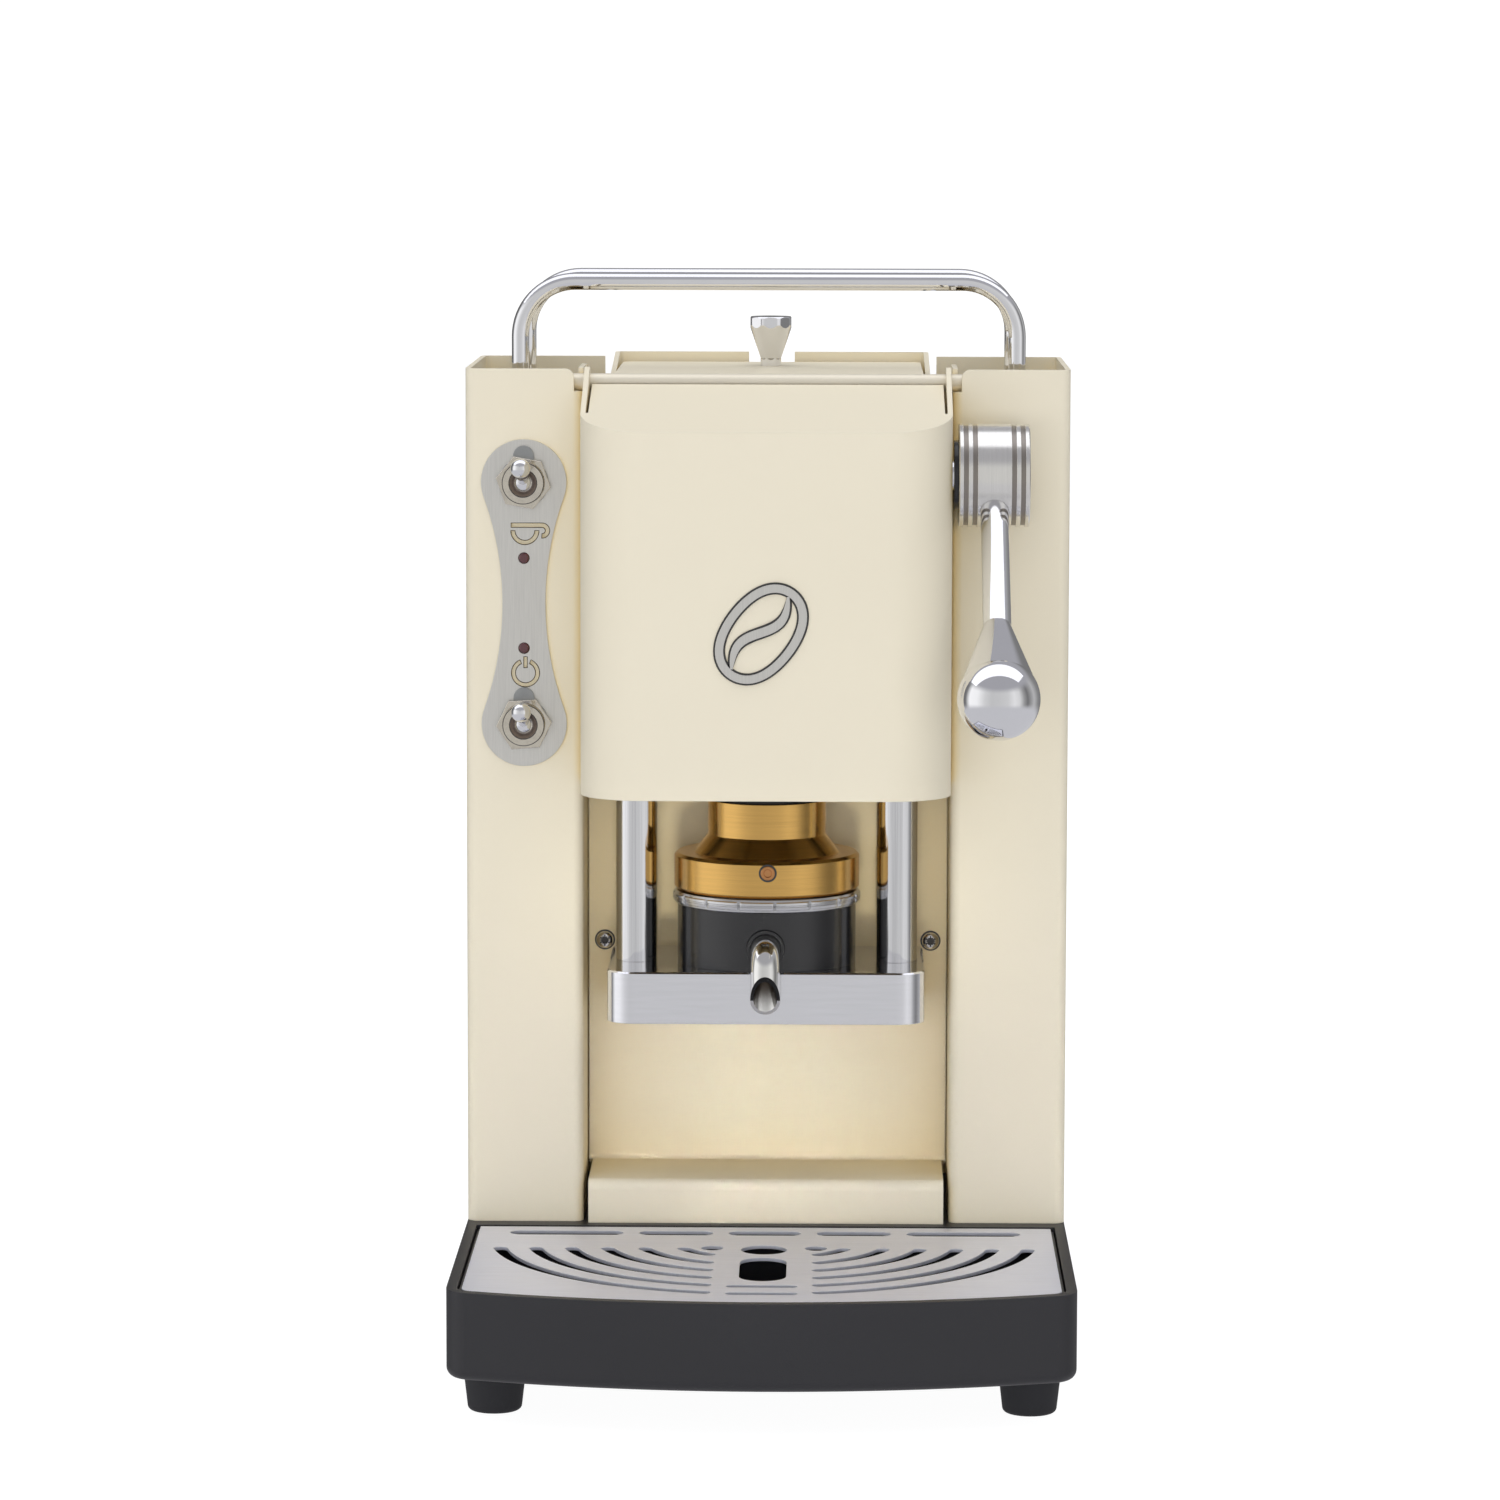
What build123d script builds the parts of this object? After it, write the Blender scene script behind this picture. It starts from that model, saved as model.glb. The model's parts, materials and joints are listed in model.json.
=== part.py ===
from build123d import *
import os
from math import acos, asin, atan2, cos, degrees, hypot, radians, sin, sqrt, tan

os.makedirs("parts", exist_ok=True)

# Lever pod machine, in millimetres: +X to the right, the user stands on the -Y side, +Z up,
# origin on the surface it stands on, under the middle of the base

# General values
body_width = 175.0
body_depth = 230.0
sheet = 1.5
bend_radius = 3.0
overrun = 6.0
seat_gap = 0.05
running_gap = 0.05
air_gap = 0.5
loose_gap = 0.4
half_width = body_width / 2
front_y = -body_depth / 2
rear_y = body_depth / 2

# Feet
foot_height = 13.0
foot_top_radius = 9.0
foot_bottom_radius = 7.5
foot_round = 1.5
foot_side_inset = 12.5
foot_front_inset = 37.5
foot_rear_inset = 17.0

# Base
base_height = 25.0
base_front_radius = 258.0
base_corner_radius = 8.0
base_edge_radius = 3.0
base_floor = 3.0
base_rim = 3.0
well_back_y = -3.5
base_top = foot_height + base_height
floor_top = foot_height + base_floor

# Drip tub and plate
tub_wall = 1.8
plate_drop = 0.2
plate_thickness = 1.0
plate_gap = 1.3
plate_top = base_top - plate_drop
tub_top = plate_top - plate_thickness
slot_width = 4.0
slot_front_margin = 11.1
slot_radius_share = 0.727
slot_pitch_share = 0.13
slot_count = 6
slot_back_share = 0.162
slot_inner_x = 14.0
mid_slot_length = 20.0
mid_slot_width = 3.5
mid_slot_inset = 11.2
mid_slot_pitch = 10.0
back_slot_y = -13.6
back_slot_width = 6.0
back_slot_bridge = 4.5
back_slot_centre_length = 21.0
back_slot_inner_length = 21.6
back_slot_margin = 9.1
plate_hole_share = 0.168
small_hole_radius = 3.2
small_hole_share = 0.1935
big_hole_radius = 6.6
big_hole_share = 0.199
finger_slot_width = 13.3
finger_slot_length_share = 0.43
finger_slot_share = 0.561

# Hood, and the rod it hangs on
hood_half_width = 53.0
hood_face_y = -42.5
hood_corner_radius = 18.0
hood_bottom = 167.8
hood_front_top = 272.4
hood_top_slope = 13.8
hood_top_back_y = 3.0
hood_slit = 0.75
hinge_y = 7.0
hinge_z = 284.0
hinge_rod_radius = 2.5
hinge_rod_reach = 3.5
ear_radius = 4.4
shaft_slot_gap = 3.0

# Columns
column_face_y = 2.5
column_height = 250.0
column_depth = 81.0
column_side_depth = 31.5
column_top = base_top + column_height
column_inner = hood_half_width + air_gap
column_rear_y = column_face_y + column_depth
top_notch_width = 2.5
top_corner_radius = 2.5
rear_flange_gap = 2.0

# Rear cover, tank shelf and mains inlet
rear_half_width = 48.0
rear_inset = 1.5
rear_notch_width = 14.0
rear_notch_depth = 6.0
cheek_drop_front = 9.4
cheek_level_length = 2.5
rear_face_y = rear_y - rear_inset
inlet_x = 28.0
inlet_z = 100.0
inlet_width = 27.0
inlet_height = 20.0
inlet_depth = 14.0
inlet_lip = 3.0
inlet_socket_width = 23.0
inlet_socket_height = 16.0
inlet_socket_depth = 12.0
inlet_pin_radius = 1.6
inlet_pin_spread = 6.0
inlet_pin_length = 9.0
inlet_corner_radius = 3.0

# Centre panel
panel_face_y = 36.0
panel_side_gap = 0.3
lip_face_y = 0.5
lip_side_gap = 1.5
lip_top = 50.7
shelf_gap = 1.1
shelf_top = 283.0
panel_back_y = panel_face_y + sheet
panel_half_width = column_inner - panel_side_gap
screw_x = 48.4
screw_z = 116.7
screw_head_radius = 2.6
screw_head_height = 1.6
screw_shank_radius = 1.5
screw_socket_radius = 1.3
screw_socket_depth = 0.9

# Group plate, posts and pod holder
group_y = 8.0
group_half_width = 46.0
group_front_y = -18.0
group_bottom = 100.0
group_thickness = 15.0
group_corner_radius = 8.0
group_edge = 0.5
group_top = group_bottom + group_thickness
post_x = 38.0
post_radius = 6.0
post_neck_radius = 4.0
holder_radius = 26.0
holder_height = 17.3
pod_radius = 22.5
pod_depth = 6.8
seal_radius = 27.5
seal_height = 3.9
seal_lip = 1.2
holder_top = group_top + holder_height
seal_top = holder_top + seal_height

# Spout
spout_radius = 4.3
spout_wall = 0.9
spout_z = 122.0
spout_end_z = 103.4
spout_corner_z = 108.1
spout_mouth_z = 115.6
spout_bend = 6.6
spout_tail = 3.0
collar_radius = 5.4
collar_sunk = 1.2
collar_proud = 1.2

# Piston
piston_gap = 0.3
band_radius = 27.0
band_height = 10.7
band_edge = 0.9
shoulder_radius = 21.3
cone_height = 5.3
neck_radius = 17.2
neck_top = 162.6
screen_radius = 21.8
screen_thickness = 2.0
piston_bottom = seal_top + piston_gap
band_top = piston_bottom + band_height
stem_radius = 15.0

# Lever axis and its linkage
lever_y = -16.5
lever_z = 258.8
lever_rest_angle = 40.0
lever_travel_angle = 95.0
shaft_radius = 4.3
pin_radius = 2.25
pin_rest_radius = 18.0
piston_travel = 9.0
cam_thickness = 4.0
cam_inner_x = 7.0
cam_boss_radius = 9.0
cam_slot_gap = 0.3
cam_margin = 2.4
cam_lap_angle = 15.0
cam_steps = 7
eye_radius = 4.2
arm_half_width = 6.0
cross_bottom = 206.0
cross_height = 16.0
cross_half_width = 46.0
cross_half_depth = 10.0
cross_corner_radius = 8.0
bush_radius = 9.0
bush_standout = 2.0
bore_radius = 2.65

# Head bracket
bracket_bottom = 238.0
bracket_plate = 4.0
bracket_front_y = -1.0
bracket_flange = 3.0
cheek_inner_x = 42.0
cheek_radius = 13.0
shaft_bush_radius = 7.0
shaft_bush_flange = 1.2
shaft_bush_flange_radius = 9.0
feed_radius = 2.25
feed_block_radius = 5.5
feed_block_height = 15.0
feed_z = 251.0
feed_nipple_end_y = 20.0
feed_bottom = 212.0
hose_hole_gap = 1.0

# Lever
hub_radius = 14.75
hub_end_ridge = 1.3
hub_groove = 1.35
hub_ridge = 1.25
hub_groove_depth = 0.6
hub_plain = 9.7
hub_edge = 0.3
spacer_radius = 10.0
spacer_thickness = 1.3
lever_rod_radius = 4.0
lever_rod_start = 7.0
lever_rod_end = 53.0
knob_start = 50.5
knob_centre = 89.0
knob_radius = 11.5
knob_neck_radius = 4.6

# Switches
switch_mid_z = 220.1
switch_spacing = 70.2
lobe_share = 0.365
waist_share = 0.184
switch_plate_thickness = 1.0
bushing_radius = 6.0
bushing_bore = 4.1
bushing_proud = 6.0
nut_across_flats = 14.0
nut_thickness = 2.0
nut_turn_upper = -10.0
nut_turn_lower = 4.0
washer_radius = 7.2
washer_thickness = 0.8
tongue_width = 6.1
tongue_reach = 10.6
switch_box_width = 13.0
switch_box_height = 19.0
switch_box_depth = 20.0
bat_pivot_y = 0.5
bat_ball_radius = 3.8
bat_tilt = 17.0
bat_root_radius = 1.4
bat_end_radius = 2.0
bat_length = 17.5
bat_tip_radius = 2.85
lamp_radius = 1.6
lamp_proud = 0.4
lamp_dome = 0.8
lamp_depth = 6.0
lamp_upper_z = 233.2
lamp_lower_z = 207.0

# Carrying rods
handle_offset = 2.0
handle_radius = 2.5
handle_bend = 16.0
handle_rise = 30.0
handle_front_y = 22.5
handle_rear_y = 66.5
block_top = 278.0
block_height = 10.0
block_half_width = 6.0
block_margin = 6.0
block_floor = 1.5

# Tank and lid
shelf_z = 146.5
tank_half_width = 44.5
tank_front_gap = 1.0
tank_back_gap = 1.5
tank_wall = 2.0
tank_corner_radius = 6.0
tank_height = 135.5
nipple_radius = 4.0
nipple_length = 8.0
nipple_bore = 2.2
suction_x = 34.0
lid_half_width = 45.5
lid_front_y = 38.5
lid_corner_radius = 3.0
lid_flange_height = 8.0
lid_rim_height = 5.5
lid_rim_gap = 0.5
lid_knob_inset = 26.5
knob_height = 15.0
knob_foot_radius = 3.1
knob_waist_height = 2.5
knob_head_radius = 6.45
knob_facet_height = 12.4
knob_edge = 0.5
knob_flats_share = 0.955

# Boiler, pump and hoses
boiler_depth_share = 0.255
boiler_gap = 1.0
boiler_bottom = 60.0
boiler_height = 66.0
boiler_round = 2.0
pad_half_width = 15.0
pad_bottom = 75.0
pad_height = 36.0
outlet_place_share = 0.658
outlet_radius = 3.5
outlet_height = 14.0
side_port_radius = 4.0
side_port_length = 3.0
thermostat_radius = 6.0
thermostat_height = 6.0
thermostat_spread = 8.0
thermostat_offset = 4.5
pump_depth_share = 0.228
pump_z = 66.0
pump_left_x = -6.0
pump_right_x = 18.0
pump_round = 4.0
pump_inlet_length = 10.0
pump_outlet_radius = 8.0
pump_outlet_length = 9.0
mount_width = 8.0
mount_depth = 24.0
mount_spread = 7.0
hot_hose_radius = 3.0
hot_hose_bend = 7.0
suction_hose_radius = 4.0
suction_hose_bend = 14.0
pressure_hose_radius = 3.0
pressure_hose_bend = 8.0
pressure_hose_reach = 11.0


# Planes and outlines that several pieces share
def facing(y):
    """Plane that faces the user at depth y: its X is the part's X, its Y the part's Z."""
    return Plane.XZ.offset(-y)


def upright(x, y):
    """Plane through the upright axis at x and y, for turned pieces."""
    return Plane(origin=(x, y, 0), x_dir=(1, 0, 0), z_dir=(0, -1, 0))


def upright_axis(x, y):
    return Axis((x, y, 0), (0, 0, 1))


def base_outline(inset, back_y, corner):
    """Outline of the base from above, drawn in by inset, with its back edge at back_y."""
    side = half_width - inset
    arc_radius = base_front_radius - inset
    arc_centre_y = front_y + base_front_radius
    corner_y = arc_centre_y - sqrt(arc_radius**2 - side**2)
    with BuildSketch() as outline:
        with BuildLine():
            ThreePointArc((-side, corner_y), (0, front_y + inset), (side, corner_y))
            Polyline((side, corner_y), (side, back_y), (-side, back_y), (-side, corner_y))
        make_face()
        fillet(outline.vertices().sort_by(Axis.Y)[:2], corner)
    return outline.sketch


def hood_outline(inset, back_y):
    """Outline of the hood from above, open at no side, drawn in by inset."""
    side = hood_half_width - inset
    with BuildSketch() as outline:
        with BuildLine():
            FilletPolyline(
                (-side, back_y),
                (-side, hood_face_y + inset),
                (side, hood_face_y + inset),
                (side, back_y),
                radius=[0, hood_corner_radius - inset, hood_corner_radius - inset, 0],
                close=True,
            )
        make_face()
    return outline.sketch


def hood_top_at(y):
    """Height of the hood's sloping top at depth y."""
    return hood_front_top + (y - hood_face_y) * tan(radians(hood_top_slope))


# Base with a well for the drip tub
with BuildPart() as base_shell:
    with BuildSketch(Plane.XY.offset(foot_height)):
        add(base_outline(0, rear_y, base_corner_radius))
    extrude(amount=base_height)
    fillet(base_shell.faces().sort_by(Axis.Z)[0].edges(), base_edge_radius)
    with BuildSketch(Plane.XY.offset(floor_top)):
        add(base_outline(base_rim, well_back_y, base_corner_radius - base_rim))
    extrude(amount=base_height, mode=Mode.SUBTRACT)
base_shell.part.label = "base_shell"
export_step(base_shell.part, "parts/base_shell.step")

# Four feet
foot_x = half_width - foot_side_inset
foot_places = {
    "foot_front_left": (-foot_x, front_y + foot_front_inset),
    "foot_front_right": (foot_x, front_y + foot_front_inset),
    "foot_rear_left": (-foot_x, rear_y - foot_rear_inset),
    "foot_rear_right": (foot_x, rear_y - foot_rear_inset),
}
for name, (x, y) in foot_places.items():
    with BuildPart() as foot:
        with BuildSketch(upright(x, y)):
            with BuildLine():
                FilletPolyline(
                    (0, 0),
                    (foot_bottom_radius, 0),
                    (foot_top_radius, foot_height),
                    (0, foot_height),
                    radius=[0, foot_round, 0, 0],
                    close=True,
                )
            make_face()
        revolve(axis=upright_axis(x, y))
    foot.part.label = name
    export_step(foot.part, f"parts/{name}.step")

# Drip tub, loose in the well
tub_inset = base_rim + loose_gap
tub_back_y = well_back_y - loose_gap
plate_inset = base_rim + plate_gap
hollow_inset = tub_inset + tub_wall
with BuildPart() as drip_tub:
    with BuildSketch(Plane.XY.offset(floor_top)):
        add(base_outline(tub_inset, tub_back_y, base_corner_radius - tub_inset))
    extrude(amount=tub_top - floor_top)
    with BuildSketch(Plane.XY.offset(floor_top + tub_wall)):
        add(base_outline(hollow_inset, tub_back_y - tub_wall, base_corner_radius - hollow_inset))
    extrude(amount=base_height, mode=Mode.SUBTRACT)
drip_tub.part.label = "drip_tub"
export_step(drip_tub.part, "parts/drip_tub.step")

# Drip plate with its curved and straight slots, set out from its front edge by its depth
plate_front_edge = front_y + plate_inset
plate_depth = well_back_y - plate_gap - plate_front_edge
slot_outer_radius = slot_radius_share * plate_depth
slot_pitch = slot_pitch_share * slot_outer_radius
slot_centre_y = plate_front_edge + slot_front_margin + slot_outer_radius
slot_back_y = slot_centre_y - slot_back_share * slot_outer_radius
mid_slot_front_y = plate_front_edge + mid_slot_inset
plate_hole_y = slot_centre_y - plate_hole_share * slot_outer_radius
small_hole_x = small_hole_share * slot_outer_radius
big_hole_y = slot_centre_y - big_hole_share * slot_outer_radius
finger_slot_y = slot_centre_y - finger_slot_share * slot_outer_radius
finger_slot_length = finger_slot_length_share * slot_outer_radius
slot_arcs = []
for step in range(slot_count):
    radius = slot_outer_radius - step * slot_pitch
    cap_angle = degrees(slot_width / 2 / radius)
    first = degrees(asin(slot_inner_x / radius)) + cap_angle
    last = degrees(acos((slot_centre_y - slot_back_y) / radius)) - cap_angle
    slot_arcs.append(CenterArc((0, slot_centre_y), radius, -90 + first, last - first))
    slot_arcs.append(CenterArc((0, slot_centre_y), radius, -90 - last, last - first))
inner_slot_x = back_slot_centre_length / 2 + back_slot_bridge + back_slot_inner_length / 2
outer_slot_start = inner_slot_x + back_slot_inner_length / 2 + back_slot_bridge
outer_slot_end = half_width - plate_inset - back_slot_margin
outer_slot_x = (outer_slot_start + outer_slot_end) / 2
with BuildPart() as drip_plate:
    with BuildSketch(Plane.XY.offset(tub_top)):
        add(base_outline(plate_inset, well_back_y - plate_gap, base_corner_radius - plate_inset))
        for slot_arc in slot_arcs:
            SlotArc(slot_arc, slot_width, mode=Mode.SUBTRACT)
        with Locations((0, mid_slot_front_y), (0, mid_slot_front_y + mid_slot_pitch)):
            SlotOverall(mid_slot_length, mid_slot_width, mode=Mode.SUBTRACT)
        with Locations((0, back_slot_y)):
            SlotOverall(back_slot_centre_length, back_slot_width, mode=Mode.SUBTRACT)
        with Locations((-inner_slot_x, back_slot_y), (inner_slot_x, back_slot_y)):
            SlotOverall(back_slot_inner_length, back_slot_width, mode=Mode.SUBTRACT)
        with Locations((-outer_slot_x, back_slot_y), (outer_slot_x, back_slot_y)):
            SlotOverall(outer_slot_end - outer_slot_start, back_slot_width, mode=Mode.SUBTRACT)
        with Locations((-small_hole_x, plate_hole_y), (small_hole_x, plate_hole_y)):
            Circle(small_hole_radius, mode=Mode.SUBTRACT)
        with Locations((0, big_hole_y)):
            Circle(big_hole_radius, mode=Mode.SUBTRACT)
        with Locations((0, finger_slot_y)):
            SlotOverall(finger_slot_length, finger_slot_width, rotation=90, mode=Mode.SUBTRACT)
    extrude(amount=plate_thickness)
drip_plate.part.label = "drip_plate"
export_step(drip_plate.part, "parts/drip_plate.step")

# Two folded columns, open at the top, each with a notch that the hinge rod lies in
column_width = half_width - column_inner
column_mid = (half_width + column_inner) / 2
switch_x = -column_mid
switch_upper_z = switch_mid_z + switch_spacing / 2
switch_lower_z = switch_mid_z - switch_spacing / 2
flange_inner = rear_half_width + rear_flange_gap
inner_bend = bend_radius - sheet
notch_back_y = hinge_y + hinge_rod_radius + seat_gap
notch_bottom = hinge_z - hinge_rod_radius - seat_gap
for name, side in (("left", -1), ("right", 1)):
    with BuildPart() as column:
        with BuildSketch(Plane.XY.offset(base_top)):
            with BuildLine():
                FilletPolyline(
                    (side * column_inner, column_face_y + column_side_depth),
                    (side * column_inner, column_face_y),
                    (side * half_width, column_face_y),
                    (side * half_width, column_rear_y),
                    (side * flange_inner, column_rear_y),
                    (side * flange_inner, column_rear_y - sheet),
                    (side * (half_width - sheet), column_rear_y - sheet),
                    (side * (half_width - sheet), column_face_y + sheet),
                    (side * (column_inner + sheet), column_face_y + sheet),
                    (side * (column_inner + sheet), column_face_y + column_side_depth),
                    radius=[0] + [bend_radius] * 3 + [0, 0] + [inner_bend] * 3 + [0],
                    close=True,
                )
            make_face()
        extrude(amount=column_height)
        with BuildSketch(facing(notch_back_y)):
            notch_x = side * (column_inner + top_notch_width)
            with BuildLine():
                Polyline(
                    (notch_x + side * top_corner_radius, column_top),
                    (notch_x + side * top_corner_radius, column_top + overrun),
                    (side * (column_inner - overrun), column_top + overrun),
                    (side * (column_inner - overrun), notch_bottom),
                    (notch_x, notch_bottom),
                    (notch_x, column_top - top_corner_radius),
                )
                RadiusArc(
                    (notch_x, column_top - top_corner_radius),
                    (notch_x + side * top_corner_radius, column_top),
                    side * top_corner_radius,
                )
            make_face()
        extrude(amount=notch_back_y - column_face_y + overrun, mode=Mode.SUBTRACT)
        if side < 0:
            with BuildSketch(facing(column_face_y + sheet + overrun)):
                with Locations((switch_x, switch_upper_z), (switch_x, switch_lower_z)):
                    Circle(bushing_radius + seat_gap)
                with Locations((switch_x, lamp_upper_z), (switch_x, lamp_lower_z)):
                    Circle(lamp_radius + seat_gap)
            extrude(amount=overrun + sheet + overrun, mode=Mode.SUBTRACT)
    column.part.label = f"column_{name}"
    export_step(column.part, f"parts/column_{name}.step")

# Centre panel, folded: lip, ledge, tall face and a shelf at the top
shelf_front_y = hinge_y + ear_radius + shelf_gap
with BuildPart() as centre_panel:
    with BuildSketch(Plane.YZ):
        with BuildLine():
            FilletPolyline(
                (lip_face_y, base_top),
                (lip_face_y, lip_top),
                (panel_face_y, lip_top),
                (panel_face_y, shelf_top - sheet),
                (shelf_front_y, shelf_top - sheet),
                (shelf_front_y, shelf_top),
                (panel_back_y, shelf_top),
                (panel_back_y, lip_top - sheet),
                (lip_face_y + sheet, lip_top - sheet),
                (lip_face_y + sheet, base_top),
                radius=[0, bend_radius] + [inner_bend] * 2 + [0, 0] + [bend_radius] * 2 + [inner_bend, 0],
                close=True,
            )
        make_face()
    extrude(amount=panel_half_width, both=True)
    with BuildSketch(Plane.XY.offset(base_top)):
        for side in (-1, 1):
            with Locations((side * (column_inner - lip_side_gap), lip_face_y)):
                Rectangle(
                    2 * lip_side_gap,
                    2 * (panel_face_y - lip_face_y),
                    align=(Align.MIN if side > 0 else Align.MAX, Align.CENTER),
                )
    extrude(amount=lip_top - base_top, mode=Mode.SUBTRACT)
    with BuildSketch(facing(panel_back_y + overrun)):
        with Locations((0, feed_z)):
            Circle(hot_hose_radius + hose_hole_gap)
        with Locations((-screw_x, screw_z), (screw_x, screw_z)):
            Circle(screw_shank_radius + seat_gap)
    extrude(amount=2 * overrun + sheet, mode=Mode.SUBTRACT)
centre_panel.part.label = "centre_panel"
export_step(centre_panel.part, "parts/centre_panel.step")

# Two panel screws with a star socket left as a round recess
with BuildPart() as panel_screws:
    with BuildSketch(facing(panel_face_y)):
        with Locations((-screw_x, screw_z), (screw_x, screw_z)):
            Circle(screw_head_radius)
    extrude(amount=screw_head_height)
    fillet(panel_screws.faces().sort_by(Axis.Y)[:2].edges(), screw_head_height / 2)
    with BuildSketch(facing(panel_face_y)):
        with Locations((-screw_x, screw_z), (screw_x, screw_z)):
            Circle(screw_shank_radius)
    extrude(amount=-sheet)
    with BuildSketch(facing(panel_face_y - screw_head_height)):
        with Locations((-screw_x, screw_z), (screw_x, screw_z)):
            Circle(screw_socket_radius)
    extrude(amount=-screw_socket_depth, mode=Mode.SUBTRACT)
panel_screws.part.label = "panel_screws"
export_step(panel_screws.part, "parts/panel_screws.step")

# Rear cover: back and two cheeks in one folded sheet
with BuildPart() as rear_cover:
    with BuildSketch(Plane.XY.offset(base_top)):
        with BuildLine():
            FilletPolyline(
                (-rear_half_width, panel_back_y),
                (-rear_half_width, rear_face_y),
                (rear_half_width, rear_face_y),
                (rear_half_width, panel_back_y),
                (rear_half_width - sheet, panel_back_y),
                (rear_half_width - sheet, rear_face_y - sheet),
                (-rear_half_width + sheet, rear_face_y - sheet),
                (-rear_half_width + sheet, panel_back_y),
                radius=[0, bend_radius, bend_radius, 0, 0, inner_bend, inner_bend, 0],
                close=True,
            )
        make_face()
    extrude(amount=column_height)
    with BuildSketch(Plane.YZ):
        with BuildLine():
            Polyline(
                (panel_back_y - overrun, column_top - cheek_drop_front),
                (panel_back_y, column_top - cheek_drop_front),
                (rear_face_y - cheek_level_length, column_top),
                (rear_face_y - cheek_level_length, column_top + overrun),
                (panel_back_y - overrun, column_top + overrun),
                close=True,
            )
        make_face()
    extrude(amount=half_width, both=True, mode=Mode.SUBTRACT)
    with BuildSketch(facing(rear_face_y + overrun)):
        with Locations((0, column_top)):
            Rectangle(rear_notch_width, 2 * rear_notch_depth)
        with Locations((inlet_x, inlet_z)):
            Rectangle(inlet_width + 2 * seat_gap, inlet_height + 2 * seat_gap)
    extrude(amount=2 * overrun, mode=Mode.SUBTRACT)
rear_cover.part.label = "rear_cover"
export_step(rear_cover.part, "parts/rear_cover.step")

# Mains inlet with three pins
with BuildPart() as power_inlet:
    with BuildSketch(facing(rear_face_y)):
        with Locations((inlet_x, inlet_z)):
            Rectangle(inlet_width, inlet_height)
    extrude(amount=inlet_depth)
    with BuildSketch(facing(rear_y)):
        with Locations((inlet_x, inlet_z)):
            RectangleRounded(inlet_width + 2 * inlet_lip, inlet_height + 2 * inlet_lip, inlet_corner_radius)
    extrude(amount=rear_inset)
    with BuildSketch(facing(rear_y)):
        with Locations((inlet_x, inlet_z)):
            RectangleRounded(inlet_socket_width, inlet_socket_height, inlet_corner_radius)
    extrude(amount=inlet_socket_depth, mode=Mode.SUBTRACT)
    with BuildSketch(facing(rear_y - inlet_socket_depth)):
        with Locations(
            (inlet_x - inlet_pin_spread, inlet_z),
            (inlet_x, inlet_z + inlet_pin_spread / 2),
            (inlet_x + inlet_pin_spread, inlet_z),
        ):
            Circle(inlet_pin_radius)
    extrude(amount=-inlet_pin_length)
power_inlet.part.label = "power_inlet"
export_step(power_inlet.part, "parts/power_inlet.step")

# Group plate
with BuildPart() as group_plate:
    with BuildSketch(Plane.XY.offset(group_bottom)):
        with BuildLine():
            FilletPolyline(
                (-group_half_width, panel_face_y),
                (-group_half_width, group_front_y),
                (group_half_width, group_front_y),
                (group_half_width, panel_face_y),
                radius=[0, group_corner_radius, group_corner_radius, 0],
                close=True,
            )
        make_face()
    extrude(amount=group_thickness)
    chamfer(group_plate.faces().sort_by(Axis.Z)[-1].edges().sort_by(Axis.Y)[:-1], group_edge)
group_plate.part.label = "group_plate"
export_step(group_plate.part, "parts/group_plate.step")

# Guide posts
bracket_plate_top = bracket_bottom + bracket_plate
for name, x in (("post_left", -post_x), ("post_right", post_x)):
    with BuildPart() as post:
        with BuildSketch(upright(x, group_y)):
            with BuildLine():
                Polyline(
                    (0, group_top),
                    (post_radius, group_top),
                    (post_radius, bracket_bottom),
                    (post_neck_radius, bracket_bottom),
                    (post_neck_radius, bracket_plate_top + bracket_plate),
                    (0, bracket_plate_top + bracket_plate),
                    close=True,
                )
            make_face()
        revolve(axis=upright_axis(x, group_y))
    post.part.label = name
    export_step(post.part, f"parts/{name}.step")

# Pod holder with the recess for the pod and the hole for the spout
holder_front_y = group_y - holder_radius
pod_floor = holder_top - pod_depth
with BuildPart() as pod_holder:
    with BuildSketch(Plane.XY.offset(group_top)):
        with Locations((0, group_y)):
            Circle(holder_radius)
    extrude(amount=holder_height)
    with BuildSketch(Plane.XY.offset(pod_floor)):
        with Locations((0, group_y)):
            Circle(pod_radius)
    extrude(amount=holder_height, mode=Mode.SUBTRACT)
    with BuildSketch(facing(holder_front_y + spout_tail)):
        with Locations((0, spout_z)):
            Circle(spout_radius + seat_gap)
    extrude(amount=spout_tail + overrun, mode=Mode.SUBTRACT)
    with BuildSketch(facing(holder_front_y + collar_sunk)):
        with Locations((0, spout_z)):
            Circle(collar_radius + seat_gap)
    extrude(amount=collar_sunk + overrun, mode=Mode.SUBTRACT)
pod_holder.part.label = "pod_holder"
export_step(pod_holder.part, "parts/pod_holder.step")

# Seal ring on the holder
with BuildPart() as seal_ring:
    with BuildSketch(upright(0, group_y)):
        with BuildLine():
            FilletPolyline(
                (pod_radius, holder_top),
                (holder_radius, holder_top),
                (seal_radius, holder_top + seal_lip),
                (seal_radius, seal_top - seal_lip / 2),
                (seal_radius - seal_lip, seal_top),
                (pod_radius, seal_top),
                radius=[0, 0, seal_lip / 2, 0, 0, 0],
                close=True,
            )
        make_face()
    revolve(axis=upright_axis(0, group_y))
seal_ring.part.label = "seal_ring"
export_step(seal_ring.part, "parts/seal_ring.step")

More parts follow.
